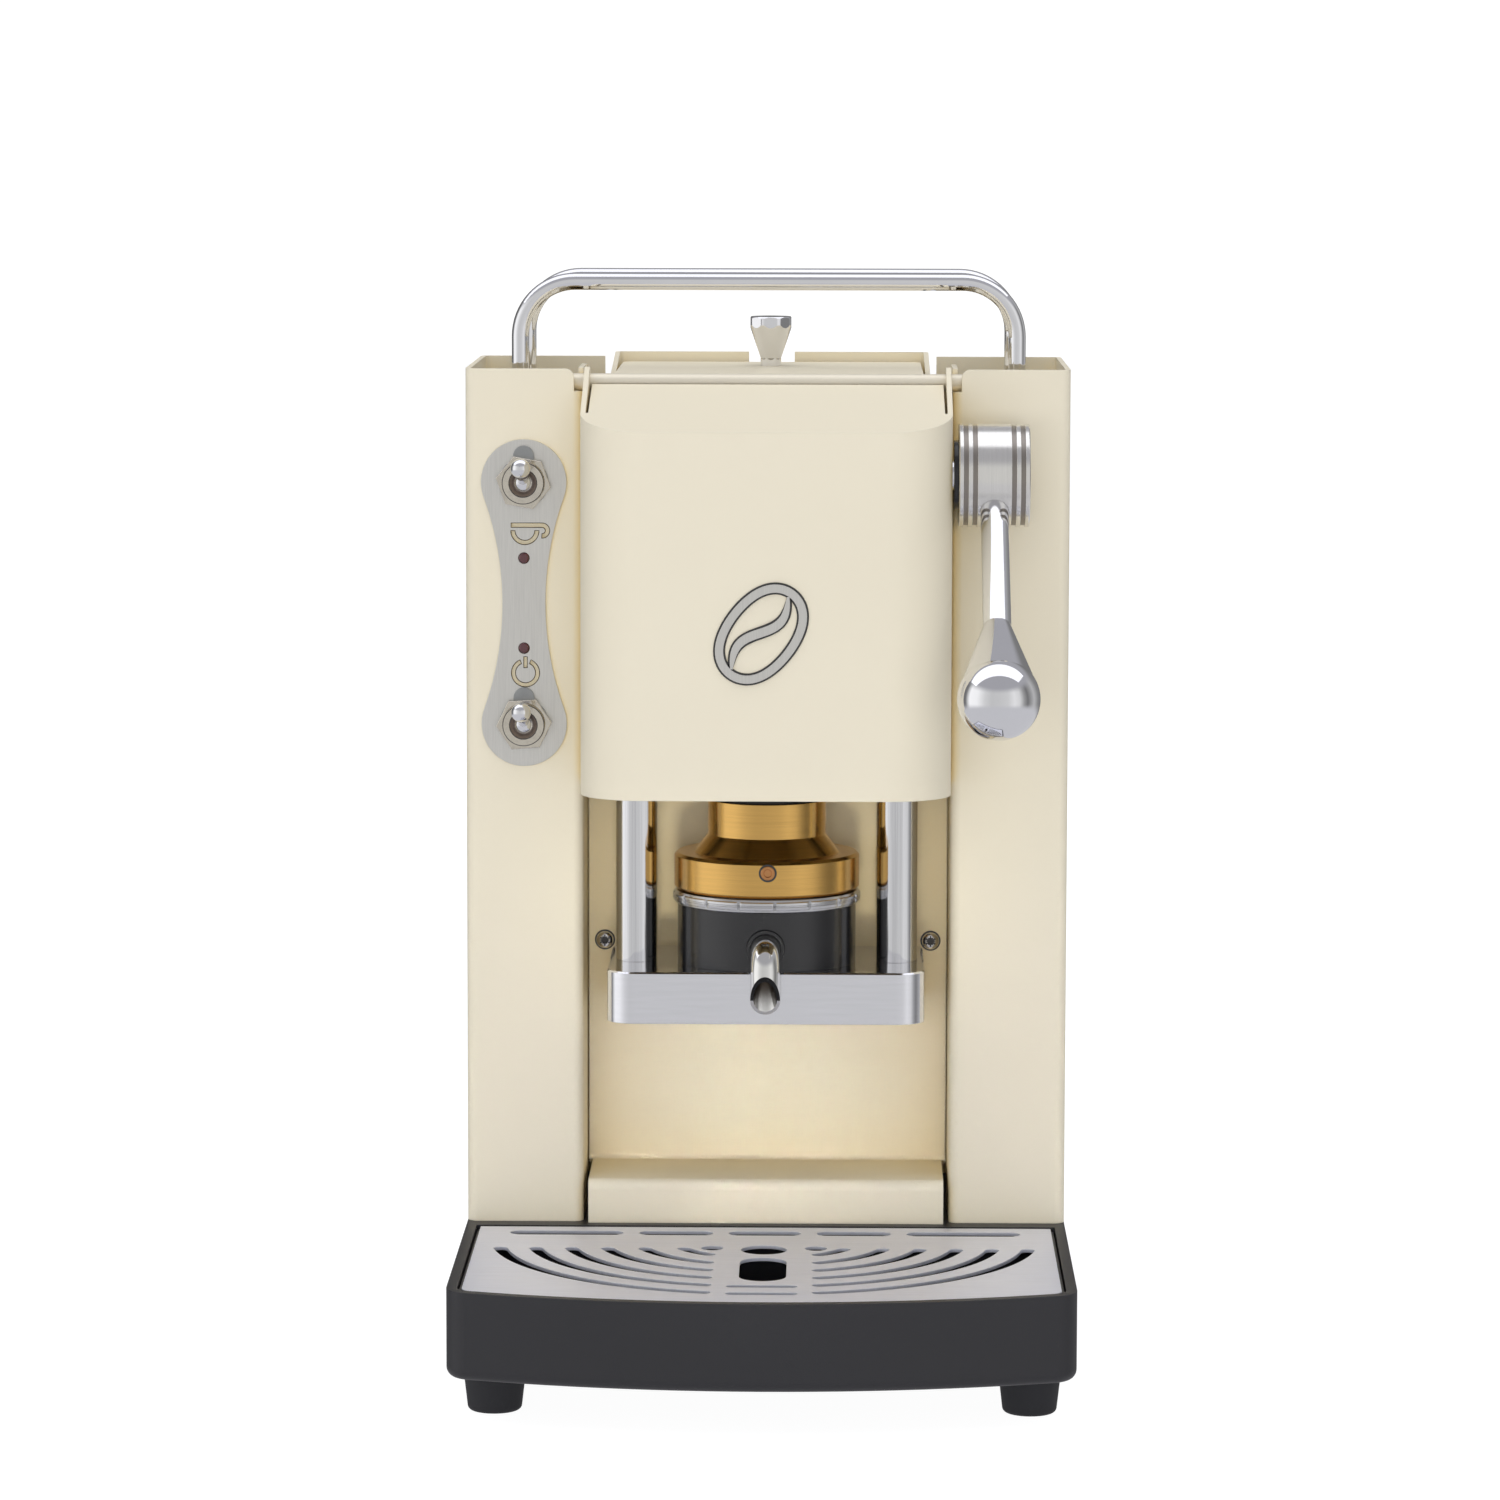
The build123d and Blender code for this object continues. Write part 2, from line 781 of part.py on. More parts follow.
# Spout: a bent tube whose mouth is cut steeply at the front and less so behind
spout_y = holder_front_y - collar_proud - spout_bend
with BuildPart() as spout_tube:
    with BuildLine():
        FilletPolyline(
            (0, holder_front_y + spout_tail, spout_z),
            (0, spout_y, spout_z),
            (0, spout_y, spout_end_z),
            radius=spout_bend,
        )
    with BuildSketch(facing(holder_front_y + spout_tail)):
        with Locations((0, spout_z)):
            Circle(spout_radius)
            Circle(spout_radius - spout_wall, mode=Mode.SUBTRACT)
    sweep()
    with BuildSketch(Plane.YZ):
        with BuildLine():
            Polyline(
                (spout_y - spout_radius - overrun, spout_mouth_z + overrun / 2),
                (spout_y - spout_radius, spout_mouth_z),
                (spout_y, spout_corner_z),
                (spout_y + spout_radius, spout_end_z),
                (spout_y + spout_radius, spout_end_z - overrun),
                (spout_y - spout_radius - overrun, spout_end_z - overrun),
                close=True,
            )
        make_face()
    extrude(amount=2 * spout_radius, both=True, mode=Mode.SUBTRACT)
spout_tube.part.label = "spout_tube"
export_step(spout_tube.part, "parts/spout_tube.step")

# Collar round the spout
with BuildPart() as spout_collar:
    with BuildSketch(facing(holder_front_y + collar_sunk)):
        with Locations((0, spout_z)):
            Circle(collar_radius)
            Circle(spout_radius + seat_gap, mode=Mode.SUBTRACT)
    extrude(amount=collar_sunk + collar_proud)
spout_collar.part.label = "spout_collar"
export_step(spout_collar.part, "parts/spout_collar.step")

# Brass piston with its screen and stem
with BuildPart() as piston:
    with BuildSketch(upright(0, group_y)):
        with BuildLine():
            Polyline(
                (bore_radius, piston_bottom),
                (band_radius - band_edge, piston_bottom),
                (band_radius, piston_bottom + band_edge),
                (band_radius, band_top - band_edge),
                (band_radius - band_edge, band_top),
                (shoulder_radius, band_top),
                (neck_radius, band_top + cone_height),
                (neck_radius, neck_top),
                (bore_radius, neck_top),
                close=True,
            )
        make_face()
    revolve(axis=upright_axis(0, group_y))
piston.part.label = "piston"
export_step(piston.part, "parts/piston.step")

with BuildPart() as shower_screen:
    with BuildSketch(Plane.XY.offset(piston_bottom - screen_thickness)):
        with Locations((0, group_y)):
            Circle(screen_radius)
    extrude(amount=screen_thickness)
shower_screen.part.label = "shower_screen"
export_step(shower_screen.part, "parts/shower_screen.step")

with BuildPart() as piston_stem:
    with BuildSketch(Plane.XY.offset(neck_top)):
        with Locations((0, group_y)):
            Circle(stem_radius)
            Circle(bore_radius, mode=Mode.SUBTRACT)
    extrude(amount=cross_bottom - neck_top)
piston_stem.part.label = "piston_stem"
export_step(piston_stem.part, "parts/piston_stem.step")

# Crosshead on the posts, with the arm whose eye holds the follower pin
pin_z = lever_z - pin_rest_radius
cross_top = cross_bottom + cross_height
with BuildPart() as crosshead:
    with BuildSketch(Plane.XY.offset(cross_bottom)):
        with Locations((0, group_y)):
            RectangleRounded(2 * cross_half_width, 2 * cross_half_depth, cross_corner_radius)
    extrude(amount=cross_height)
    with BuildSketch(Plane.YZ):
        with BuildLine():
            Polyline(
                (lever_y + eye_radius, pin_z),
                (lever_y + eye_radius, cross_top),
                (group_y, cross_top),
                (group_y, cross_bottom),
                (lever_y - eye_radius, cross_bottom),
                (lever_y - eye_radius, pin_z),
            )
            ThreePointArc(
                (lever_y - eye_radius, pin_z),
                (lever_y, pin_z + eye_radius),
                (lever_y + eye_radius, pin_z),
            )
        make_face()
    extrude(amount=arm_half_width, both=True)
    with BuildSketch(Plane.YZ):
        with Locations((lever_y, pin_z)):
            Circle(pin_radius + seat_gap)
    extrude(amount=2 * arm_half_width, both=True, mode=Mode.SUBTRACT)
    with BuildSketch(Plane.XY.offset(cross_bottom)):
        with Locations((-post_x, group_y), (post_x, group_y)):
            Circle(bush_radius + seat_gap)
        with Locations((0, group_y)):
            Circle(bore_radius)
    extrude(amount=cross_height, mode=Mode.SUBTRACT)
crosshead.part.label = "crosshead"
export_step(crosshead.part, "parts/crosshead.step")

with BuildPart() as guide_bushes:
    with BuildSketch(Plane.XY.offset(cross_bottom - bush_standout)):
        with Locations((-post_x, group_y), (post_x, group_y)):
            Circle(bush_radius)
            Circle(post_radius + running_gap, mode=Mode.SUBTRACT)
    extrude(amount=cross_height + 2 * bush_standout)
guide_bushes.part.label = "guide_bushes"
export_step(guide_bushes.part, "parts/guide_bushes.step")

with BuildPart() as follower_pin:
    with BuildSketch(Plane.YZ):
        with Locations((lever_y, pin_z)):
            Circle(pin_radius)
    extrude(amount=cam_inner_x + cam_thickness, both=True)
follower_pin.part.label = "follower_pin"
export_step(follower_pin.part, "parts/follower_pin.step")

# Cam plates: the slot draws in by the same amount for each degree of lever travel
slot_half = pin_radius + cam_slot_gap
draw_in = piston_travel / radians(lever_travel_angle)
lever_centre = (lever_y, lever_z)


def cam_radius(angle):
    return pin_rest_radius - draw_in * radians(angle)


def cam_point(angle, out):
    """Point of the slot's centre line at this angle from straight down, moved outward square to it."""
    u = (sin(radians(angle)), -cos(radians(angle)))
    along = (-u[1], u[0])
    radius = cam_radius(angle)
    steep = hypot(radius, draw_in)
    normal = tuple((u[i] * radius + along[i] * draw_in) / steep for i in (0, 1))
    return tuple(lever_centre[i] + u[i] * radius + normal[i] * out for i in (0, 1))


def cam_end(angle, sign):
    """Tip of the slot's round end at this angle; sign is -1 at the start and 1 at the finish."""
    u = (sin(radians(angle)), -cos(radians(angle)))
    along = (-u[1], u[0])
    radius = cam_radius(angle)
    steep = hypot(radius, draw_in)
    tangent = tuple((along[i] * radius - u[i] * draw_in) / steep for i in (0, 1))
    return tuple(lever_centre[i] + u[i] * radius + sign * tangent[i] * slot_half for i in (0, 1))


slot_angles = [lever_travel_angle * step / (cam_steps - 1) for step in range(cam_steps)]
lobe_span = lever_travel_angle + 2 * cam_lap_angle
lobe_angles = [lobe_span * step / (cam_steps - 1) - cam_lap_angle for step in range(cam_steps)]
lobe_edge = [cam_point(angle, slot_half + cam_margin) for angle in lobe_angles]
slot_outer = [cam_point(angle, slot_half) for angle in slot_angles]
slot_inner = [cam_point(angle, -slot_half) for angle in slot_angles]
with BuildPart() as cam_plates:
    for cam_x in (-cam_inner_x - cam_thickness, cam_inner_x):
        with BuildSketch(Plane.YZ.offset(cam_x)):
            with BuildLine():
                Spline(*lobe_edge)
                Polyline(lobe_edge[-1], (lever_y, lever_z), lobe_edge[0])
            make_face()
            with Locations((lever_y, lever_z)):
                Circle(cam_boss_radius)
            with BuildLine():
                Spline(*slot_outer)
                ThreePointArc(slot_outer[-1], cam_end(lever_travel_angle, 1), slot_inner[-1])
                Spline(*slot_inner)
                ThreePointArc(slot_inner[0], cam_end(0, -1), slot_outer[0])
            make_face(mode=Mode.SUBTRACT)
            with Locations((lever_y, lever_z)):
                Circle(shaft_radius + seat_gap, mode=Mode.SUBTRACT)
        extrude(amount=cam_thickness)
cam_plates.part.label = "cam_plates"
export_step(cam_plates.part, "parts/cam_plates.step")

# Head bracket: carries the lever shaft and the tops of the posts
cheek_outer_x = cheek_inner_x + bracket_plate
bracket_top = lever_z + cheek_radius
with BuildPart() as head_bracket:
    with BuildSketch(Plane.XY.offset(bracket_bottom)):
        with Locations((0, bracket_front_y)):
            Rectangle(2 * cheek_outer_x, panel_face_y - bracket_front_y, align=(Align.CENTER, Align.MIN))
    extrude(amount=bracket_plate)
    with BuildSketch(facing(panel_face_y)):
        with Locations((0, bracket_bottom)):
            Rectangle(2 * cheek_outer_x, bracket_top - bracket_bottom, align=(Align.CENTER, Align.MIN))
    extrude(amount=bracket_flange)
    for cheek_x in (-cheek_outer_x, cheek_inner_x):
        with BuildSketch(Plane.YZ.offset(cheek_x)):
            with BuildLine():
                Polyline(
                    (lever_y, bracket_top),
                    (panel_face_y, bracket_top),
                    (panel_face_y, bracket_bottom),
                    (bracket_front_y, bracket_bottom),
                    (lever_y, lever_z - cheek_radius),
                )
                ThreePointArc(
                    (lever_y, lever_z - cheek_radius),
                    (lever_y - cheek_radius, lever_z),
                    (lever_y, bracket_top),
                )
            make_face()
        extrude(amount=bracket_plate)
    with BuildSketch(Plane.YZ):
        with Locations((lever_y, lever_z)):
            Circle(shaft_bush_radius + seat_gap)
    extrude(amount=half_width, both=True, mode=Mode.SUBTRACT)
    with BuildSketch(Plane.XY.offset(bracket_bottom)):
        with Locations((-post_x, group_y), (post_x, group_y)):
            Circle(post_neck_radius + seat_gap)
        with Locations((0, group_y)):
            Circle(feed_radius + seat_gap)
    extrude(amount=bracket_plate, mode=Mode.SUBTRACT)
    with BuildSketch(facing(panel_face_y)):
        with Locations((0, feed_z)):
            Circle(hot_hose_radius + hose_hole_gap)
    extrude(amount=bracket_flange, mode=Mode.SUBTRACT)
head_bracket.part.label = "head_bracket"
export_step(head_bracket.part, "parts/head_bracket.step")

with BuildPart() as shaft_bushes:
    for side in (-1, 1):
        with BuildSketch(Plane.YZ.offset(side * cheek_inner_x)):
            with Locations((lever_y, lever_z)):
                Circle(shaft_bush_radius)
                Circle(shaft_radius + running_gap, mode=Mode.SUBTRACT)
        extrude(amount=side * bracket_plate)
        with BuildSketch(Plane.YZ.offset(side * cheek_outer_x)):
            with Locations((lever_y, lever_z)):
                Circle(shaft_bush_flange_radius)
                Circle(shaft_radius + running_gap, mode=Mode.SUBTRACT)
        extrude(amount=side * shaft_bush_flange)
shaft_bushes.part.label = "shaft_bushes"
export_step(shaft_bushes.part, "parts/shaft_bushes.step")

# Feed tube: fixed on the bracket, it reaches down into the moving stem's bore
with BuildPart() as feed_tube:
    with BuildSketch(Plane.XY.offset(feed_bottom)):
        with Locations((0, group_y)):
            Circle(feed_radius)
    extrude(amount=bracket_plate_top - feed_bottom)
    with BuildSketch(Plane.XY.offset(bracket_plate_top)):
        with Locations((0, group_y)):
            Circle(feed_block_radius)
    extrude(amount=feed_block_height)
    with BuildSketch(facing(feed_nipple_end_y)):
        with Locations((0, feed_z)):
            Circle(feed_radius)
    extrude(amount=feed_nipple_end_y - group_y)
feed_tube.part.label = "feed_tube"
export_step(feed_tube.part, "parts/feed_tube.step")

# Lever: shaft, spacer, ridged hub, rod and knob
spacer_x = column_inner
hub_x = spacer_x + spacer_thickness
hub_length = 2 * (2 * hub_groove + hub_end_ridge + hub_ridge) + hub_plain
hub_mid_x = hub_x + hub_length / 2
shaft_start_x = -(cheek_outer_x + 2 * shaft_bush_flange)
with BuildPart() as lever_shaft:
    with BuildSketch(Plane.YZ.offset(shaft_start_x)):
        with Locations((lever_y, lever_z)):
            Circle(shaft_radius)
    extrude(amount=hub_mid_x - shaft_start_x)
lever_shaft.part.label = "lever_shaft"
export_step(lever_shaft.part, "parts/lever_shaft.step")

with BuildPart() as hub_spacer:
    with BuildSketch(Plane.YZ.offset(spacer_x)):
        with Locations((lever_y, lever_z)):
            Circle(spacer_radius)
            Circle(shaft_radius + seat_gap, mode=Mode.SUBTRACT)
    extrude(amount=spacer_thickness)
hub_spacer.part.label = "hub_spacer"
export_step(hub_spacer.part, "parts/hub_spacer.step")

rod_way = (0, -cos(radians(lever_rest_angle)), -sin(radians(lever_rest_angle)))
lever_plane = Plane(origin=(hub_mid_x, lever_y, lever_z), x_dir=rod_way, z_dir=(1, 0, 0))
lever_line = Axis((hub_mid_x, lever_y, lever_z), rod_way)
groove_starts = []
for end_x, way in ((hub_x, 1), (hub_x + hub_length, -1)):
    first = end_x + way * hub_end_ridge
    second = first + way * (hub_groove + hub_ridge)
    groove_starts += [min(first, first + way * hub_groove), min(second, second + way * hub_groove)]
with BuildPart() as lever_hub:
    with BuildSketch(Plane.YZ.offset(hub_x)):
        with Locations((lever_y, lever_z)):
            Circle(hub_radius)
    extrude(amount=hub_length)
    chamfer(lever_hub.edges(), hub_edge)
    for groove_x in groove_starts:
        with BuildSketch(Plane.YZ.offset(groove_x)):
            with Locations((lever_y, lever_z)):
                Circle(hub_radius + overrun)
                Circle(hub_radius - hub_groove_depth, mode=Mode.SUBTRACT)
        extrude(amount=hub_groove, mode=Mode.SUBTRACT)
    with BuildSketch(Plane.YZ.offset(hub_x)):
        with Locations((lever_y, lever_z)):
            Circle(shaft_radius + seat_gap)
    extrude(amount=hub_length / 2, mode=Mode.SUBTRACT)
    with BuildSketch(lever_plane):
        Rectangle(hub_radius + overrun, lever_rod_radius + seat_gap, align=(Align.MIN, Align.MIN))
    revolve(axis=lever_line, mode=Mode.SUBTRACT)
lever_hub.part.label = "lever_hub"
export_step(lever_hub.part, "parts/lever_hub.step")

with BuildPart() as lever_rod:
    with BuildSketch(lever_plane):
        with Locations((lever_rod_start, 0)):
            Rectangle(lever_rod_end - lever_rod_start, lever_rod_radius, align=(Align.MIN, Align.MIN))
    revolve(axis=lever_line)
lever_rod.part.label = "lever_rod"
export_step(lever_rod.part, "parts/lever_rod.step")

# The knob's cone runs tangent into its ball
cone_reach = hypot(knob_centre - knob_start, knob_neck_radius)
cone_angle = asin(knob_radius / cone_reach) - atan2(knob_neck_radius, knob_centre - knob_start)
cone_length = sqrt(cone_reach**2 - knob_radius**2)
touch_x = knob_start + cone_length * cos(cone_angle)
touch_r = knob_neck_radius + cone_length * sin(cone_angle)
with BuildPart() as lever_knob:
    with BuildSketch(lever_plane):
        with BuildLine():
            Polyline(
                (knob_centre + knob_radius, 0),
                (knob_start, 0),
                (knob_start, knob_neck_radius),
                (touch_x, touch_r),
            )
            ThreePointArc(
                (touch_x, touch_r),
                (knob_centre + knob_radius * cos(radians(45)), knob_radius * sin(radians(45))),
                (knob_centre + knob_radius, 0),
            )
        make_face()
    revolve(axis=lever_line)
    with BuildSketch(lever_plane):
        Rectangle(lever_rod_end, lever_rod_radius + seat_gap, align=(Align.MIN, Align.MIN))
    revolve(axis=lever_line, mode=Mode.SUBTRACT)
lever_knob.part.label = "lever_knob"
export_step(lever_knob.part, "parts/lever_knob.step")

# Hinge rod between the columns
with BuildPart() as hinge_rod:
    with BuildSketch(Plane.YZ):
        with Locations((hinge_y, hinge_z)):
            Circle(hinge_rod_radius)
    extrude(amount=hood_half_width + hinge_rod_reach, both=True)
hinge_rod.part.label = "hinge_rod"
export_step(hinge_rod.part, "parts/hinge_rod.step")

# Hood: first the space inside it, then the folded sheet
hood_rear_y = hinge_y + ear_radius
hood_reach_z = hinge_z + ear_radius
corner_end_y = hood_face_y + hood_corner_radius
top_depth = sheet / cos(radians(hood_top_slope))
with BuildPart() as hood_space:
    with BuildSketch(Plane.XY.offset(hood_bottom - overrun)):
        add(hood_outline(sheet, hood_rear_y + overrun))
    extrude(amount=hood_reach_z - hood_bottom + 2 * overrun)
    with BuildSketch(Plane.YZ):
        with BuildLine():
            Polyline(
                (hood_face_y - overrun, hood_top_at(hood_face_y - overrun) - top_depth),
                (hood_rear_y + 2 * overrun, hood_top_at(hood_rear_y + 2 * overrun) - top_depth),
                (hood_rear_y + 2 * overrun, hood_reach_z + 2 * overrun),
                (hood_face_y - overrun, hood_reach_z + 2 * overrun),
                close=True,
            )
        make_face()
    extrude(amount=half_width, both=True, mode=Mode.SUBTRACT)

ear_run = hinge_y - corner_end_y
ear_rise = hinge_z - hood_top_at(corner_end_y)
ear_reach = hypot(ear_run, ear_rise)
ear_angle = atan2(ear_rise, ear_run) + asin(ear_radius / ear_reach)
ear_top_y = hinge_y - ear_radius * sin(ear_angle)
ear_top_z = hinge_z + ear_radius * cos(ear_angle)
shaft_reach = hypot(lever_y - hinge_y, lever_z - hinge_z)
shaft_angle = degrees(atan2(lever_z - hinge_z, lever_y - hinge_y)) % 360
slot_end_angle = 270 + degrees(asin((ear_radius + overrun) / shaft_reach))
shaft_way = CenterArc((hinge_y, hinge_z), shaft_reach, shaft_angle, slot_end_angle - shaft_angle)
hood_inner = hood_half_width - sheet
with BuildPart() as hood:
    with BuildSketch(Plane.XY.offset(hood_bottom)):
        add(hood_outline(0, hood_rear_y))
    extrude(amount=hood_reach_z - hood_bottom)
    with BuildSketch(Plane.YZ):
        with BuildLine():
            Polyline(
                (hood_rear_y, hinge_z),
                (hood_rear_y, hood_bottom),
                (hood_face_y, hood_bottom),
                (hood_face_y, hood_front_top),
                (corner_end_y, hood_top_at(corner_end_y)),
                (ear_top_y, ear_top_z),
            )
            ThreePointArc(
                (ear_top_y, ear_top_z),
                (hinge_y + ear_radius * sin(radians(45)), hinge_z + ear_radius * cos(radians(45))),
                (hood_rear_y, hinge_z),
            )
        make_face()
    extrude(amount=half_width, both=True, mode=Mode.INTERSECT)
    add(hood_space.part, mode=Mode.SUBTRACT)
    with BuildSketch(Plane.YZ):
        with BuildLine():
            Polyline(
                (corner_end_y, hood_top_at(corner_end_y)),
                (hood_top_back_y, hood_top_at(hood_top_back_y)),
                (hood_top_back_y, hood_bottom - overrun),
                (hood_rear_y + overrun, hood_bottom - overrun),
                (hood_rear_y + overrun, hood_reach_z + overrun),
                (corner_end_y, hood_reach_z + overrun),
                close=True,
            )
        make_face()
    extrude(amount=hood_inner, both=True, mode=Mode.SUBTRACT)
    for slit_x in (-hood_inner, hood_inner - hood_slit):
        with BuildSketch(Plane.YZ.offset(slit_x)):
            with Locations((corner_end_y, hood_top_at(corner_end_y) - 2 * sheet)):
                Rectangle(hood_rear_y - corner_end_y, 2 * overrun + 2 * sheet, align=(Align.MIN, Align.MIN))
        extrude(amount=hood_slit, mode=Mode.SUBTRACT)
    with BuildSketch(Plane.YZ):
        with Locations((hinge_y, hinge_z)):
            Circle(hinge_rod_radius + running_gap)
    extrude(amount=half_width, both=True, mode=Mode.SUBTRACT)
    with BuildSketch(Plane.YZ.offset(hood_inner - sheet)):
        SlotArc(shaft_way, 2 * (shaft_radius + shaft_slot_gap))
    extrude(amount=3 * sheet, mode=Mode.SUBTRACT)
hood.part.label = "hood"
export_step(hood.part, "parts/hood.step")

# Switch plate: two round lobes joined by hollow sides
lobe_radius = lobe_share * column_width
waist_half_width = waist_share * column_width
waist_run = switch_spacing / 2
side_radius = (waist_run**2 + waist_half_width**2 - lobe_radius**2) / (2 * (lobe_radius - waist_half_width))
side_centre_x = waist_half_width + side_radius
touch_share = lobe_radius / (lobe_radius + side_radius)
touch_side_x = touch_share * side_centre_x
touch_rise = waist_run - touch_share * waist_run
with BuildPart() as switch_plate:
    with BuildSketch(facing(column_face_y)):
        with BuildLine():
            for side in (-1, 1):
                ThreePointArc(
                    (switch_x + side * touch_side_x, switch_mid_z - touch_rise),
                    (switch_x + side * waist_half_width, switch_mid_z),
                    (switch_x + side * touch_side_x, switch_mid_z + touch_rise),
                )
                ThreePointArc(
                    (switch_x - touch_side_x, switch_mid_z + side * touch_rise),
                    (switch_x, switch_mid_z + side * (waist_run + lobe_radius)),
                    (switch_x + touch_side_x, switch_mid_z + side * touch_rise),
                )
        make_face()
        with Locations((switch_x, switch_upper_z), (switch_x, switch_lower_z)):
            Circle(bushing_radius + seat_gap, mode=Mode.SUBTRACT)
        with Locations((switch_x, lamp_upper_z), (switch_x, lamp_lower_z)):
            Circle(lamp_radius + seat_gap, mode=Mode.SUBTRACT)
    extrude(amount=switch_plate_thickness)
switch_plate.part.label = "switch_plate"
export_step(switch_plate.part, "parts/switch_plate.step")

# Toggle switches: box and threaded bushing fixed, bat on its own pivot
plate_front_y = column_face_y - switch_plate_thickness
washer_front_y = plate_front_y - washer_thickness
box_front_y = column_face_y + sheet
bat_way = (0, -cos(radians(bat_tilt)), sin(radians(bat_tilt)))
for name, z in (("brew", switch_upper_z), ("power", switch_lower_z)):
    with BuildPart() as switch:
        with BuildSketch(facing(box_front_y + switch_box_depth)):
            with Locations((switch_x, z)):
                Rectangle(switch_box_width, switch_box_height)
        extrude(amount=switch_box_depth)
        with BuildSketch(facing(box_front_y)):
            with Locations((switch_x, z)):
                Circle(bushing_radius)
        extrude(amount=box_front_y - column_face_y + bushing_proud)
        with BuildSketch(facing(bat_pivot_y + bat_ball_radius + loose_gap)):
            with Locations((switch_x, z)):
                Circle(bushing_bore)
        extrude(amount=bushing_proud + switch_box_depth, mode=Mode.SUBTRACT)
    switch.part.label = f"switch_{name}"
    export_step(switch.part, f"parts/switch_{name}.step")

    bat_plane = Plane(origin=(switch_x, bat_pivot_y, z), x_dir=bat_way, z_dir=(1, 0, 0))
    with BuildPart() as bat:
        with BuildSketch(bat_plane):
            with BuildLine():
                ball_end = (sqrt(bat_ball_radius**2 - bat_root_radius**2), bat_root_radius)
                tip_start = (bat_length - sqrt(bat_tip_radius**2 - bat_end_radius**2), bat_end_radius)
                ThreePointArc((-bat_ball_radius, 0), (0, bat_ball_radius), ball_end)
                Line(ball_end, tip_start)
                ThreePointArc(tip_start, (bat_length, bat_tip_radius), (bat_length + bat_tip_radius, 0))
                Line((bat_length + bat_tip_radius, 0), (-bat_ball_radius, 0))
            make_face()
        revolve(axis=Axis((switch_x, bat_pivot_y, z), bat_way))
    bat.part.label = f"bat_{name}"
    export_step(bat.part, f"parts/bat_{name}.step")

with BuildPart() as switch_washers:
    with BuildSketch(facing(plate_front_y)):
        for z in (switch_upper_z, switch_lower_z):
            with Locations((switch_x, z)):
                Circle(washer_radius)
                Rectangle(tongue_width, tongue_reach - tongue_width / 2, align=(Align.CENTER, Align.MIN))
            with Locations((switch_x, z + tongue_reach - tongue_width / 2)):
                Circle(tongue_width / 2)
            with Locations((switch_x, z)):
                Circle(bushing_radius + seat_gap, mode=Mode.SUBTRACT)
    extrude(amount=washer_thickness)
switch_washers.part.label = "switch_washers"
export_step(switch_washers.part, "parts/switch_washers.step")

with BuildPart() as switch_nuts:
    with BuildSketch(facing(washer_front_y)):
        for z, turn in ((switch_upper_z, nut_turn_upper), (switch_lower_z, nut_turn_lower)):
            with Locations((switch_x, z)):
                RegularPolygon(nut_across_flats / 2, 6, major_radius=False, rotation=turn)
                Circle(bushing_radius + seat_gap, mode=Mode.SUBTRACT)
    extrude(amount=nut_thickness)
switch_nuts.part.label = "switch_nuts"
export_step(switch_nuts.part, "parts/switch_nuts.step")

with BuildPart() as lamps:
    with BuildSketch(facing(plate_front_y - lamp_proud)):
        with Locations((switch_x, lamp_upper_z), (switch_x, lamp_lower_z)):
            Circle(lamp_radius)
    extrude(amount=-(lamp_proud + switch_plate_thickness + lamp_depth))
    fillet(lamps.faces().sort_by(Axis.Y)[:2].edges(), lamp_dome)
lamps.part.label = "lamps"
export_step(lamps.part, "parts/lamps.step")

# Carrying rods and the blocks that hold their ends
lid_top = shelf_z + sheet + tank_height + sheet
handle_x = column_mid + handle_offset
handle_line_z = lid_top + handle_rise - handle_radius
block_bottom = block_top - block_height
for name, y in (("front", handle_front_y), ("rear", handle_rear_y)):
    with BuildPart() as handle_rod:
        with BuildLine():
            FilletPolyline(
                (-handle_x, y, block_bottom + block_floor),
                (-handle_x, y, handle_line_z),
                (handle_x, y, handle_line_z),
                (handle_x, y, block_bottom + block_floor),
                radius=handle_bend,
            )
        with BuildSketch(Plane.XY.offset(block_bottom + block_floor)):
            with Locations((-handle_x, y)):
                Circle(handle_radius)
        sweep()
    handle_rod.part.label = f"handle_rod_{name}"
    export_step(handle_rod.part, f"parts/handle_rod_{name}.step")

with BuildPart() as handle_blocks:
    with BuildSketch(Plane.XY.offset(block_bottom)):
        for side in (-1, 1):
            with Locations((side * (half_width - sheet), handle_front_y - block_margin)):
                Rectangle(
                    half_width - sheet - handle_x + block_half_width,
                    handle_rear_y - handle_front_y + 2 * block_margin,
                    align=(Align.MAX if side > 0 else Align.MIN, Align.MIN),
                )
    extrude(amount=block_height)
    with BuildSketch(Plane.XY.offset(block_bottom + block_floor)):
        for y in (handle_front_y, handle_rear_y):
            with Locations((-handle_x, y), (handle_x, y)):
                Circle(handle_radius + seat_gap)
    extrude(amount=block_height, mode=Mode.SUBTRACT)
handle_blocks.part.label = "handle_blocks"
export_step(handle_blocks.part, "parts/handle_blocks.step")

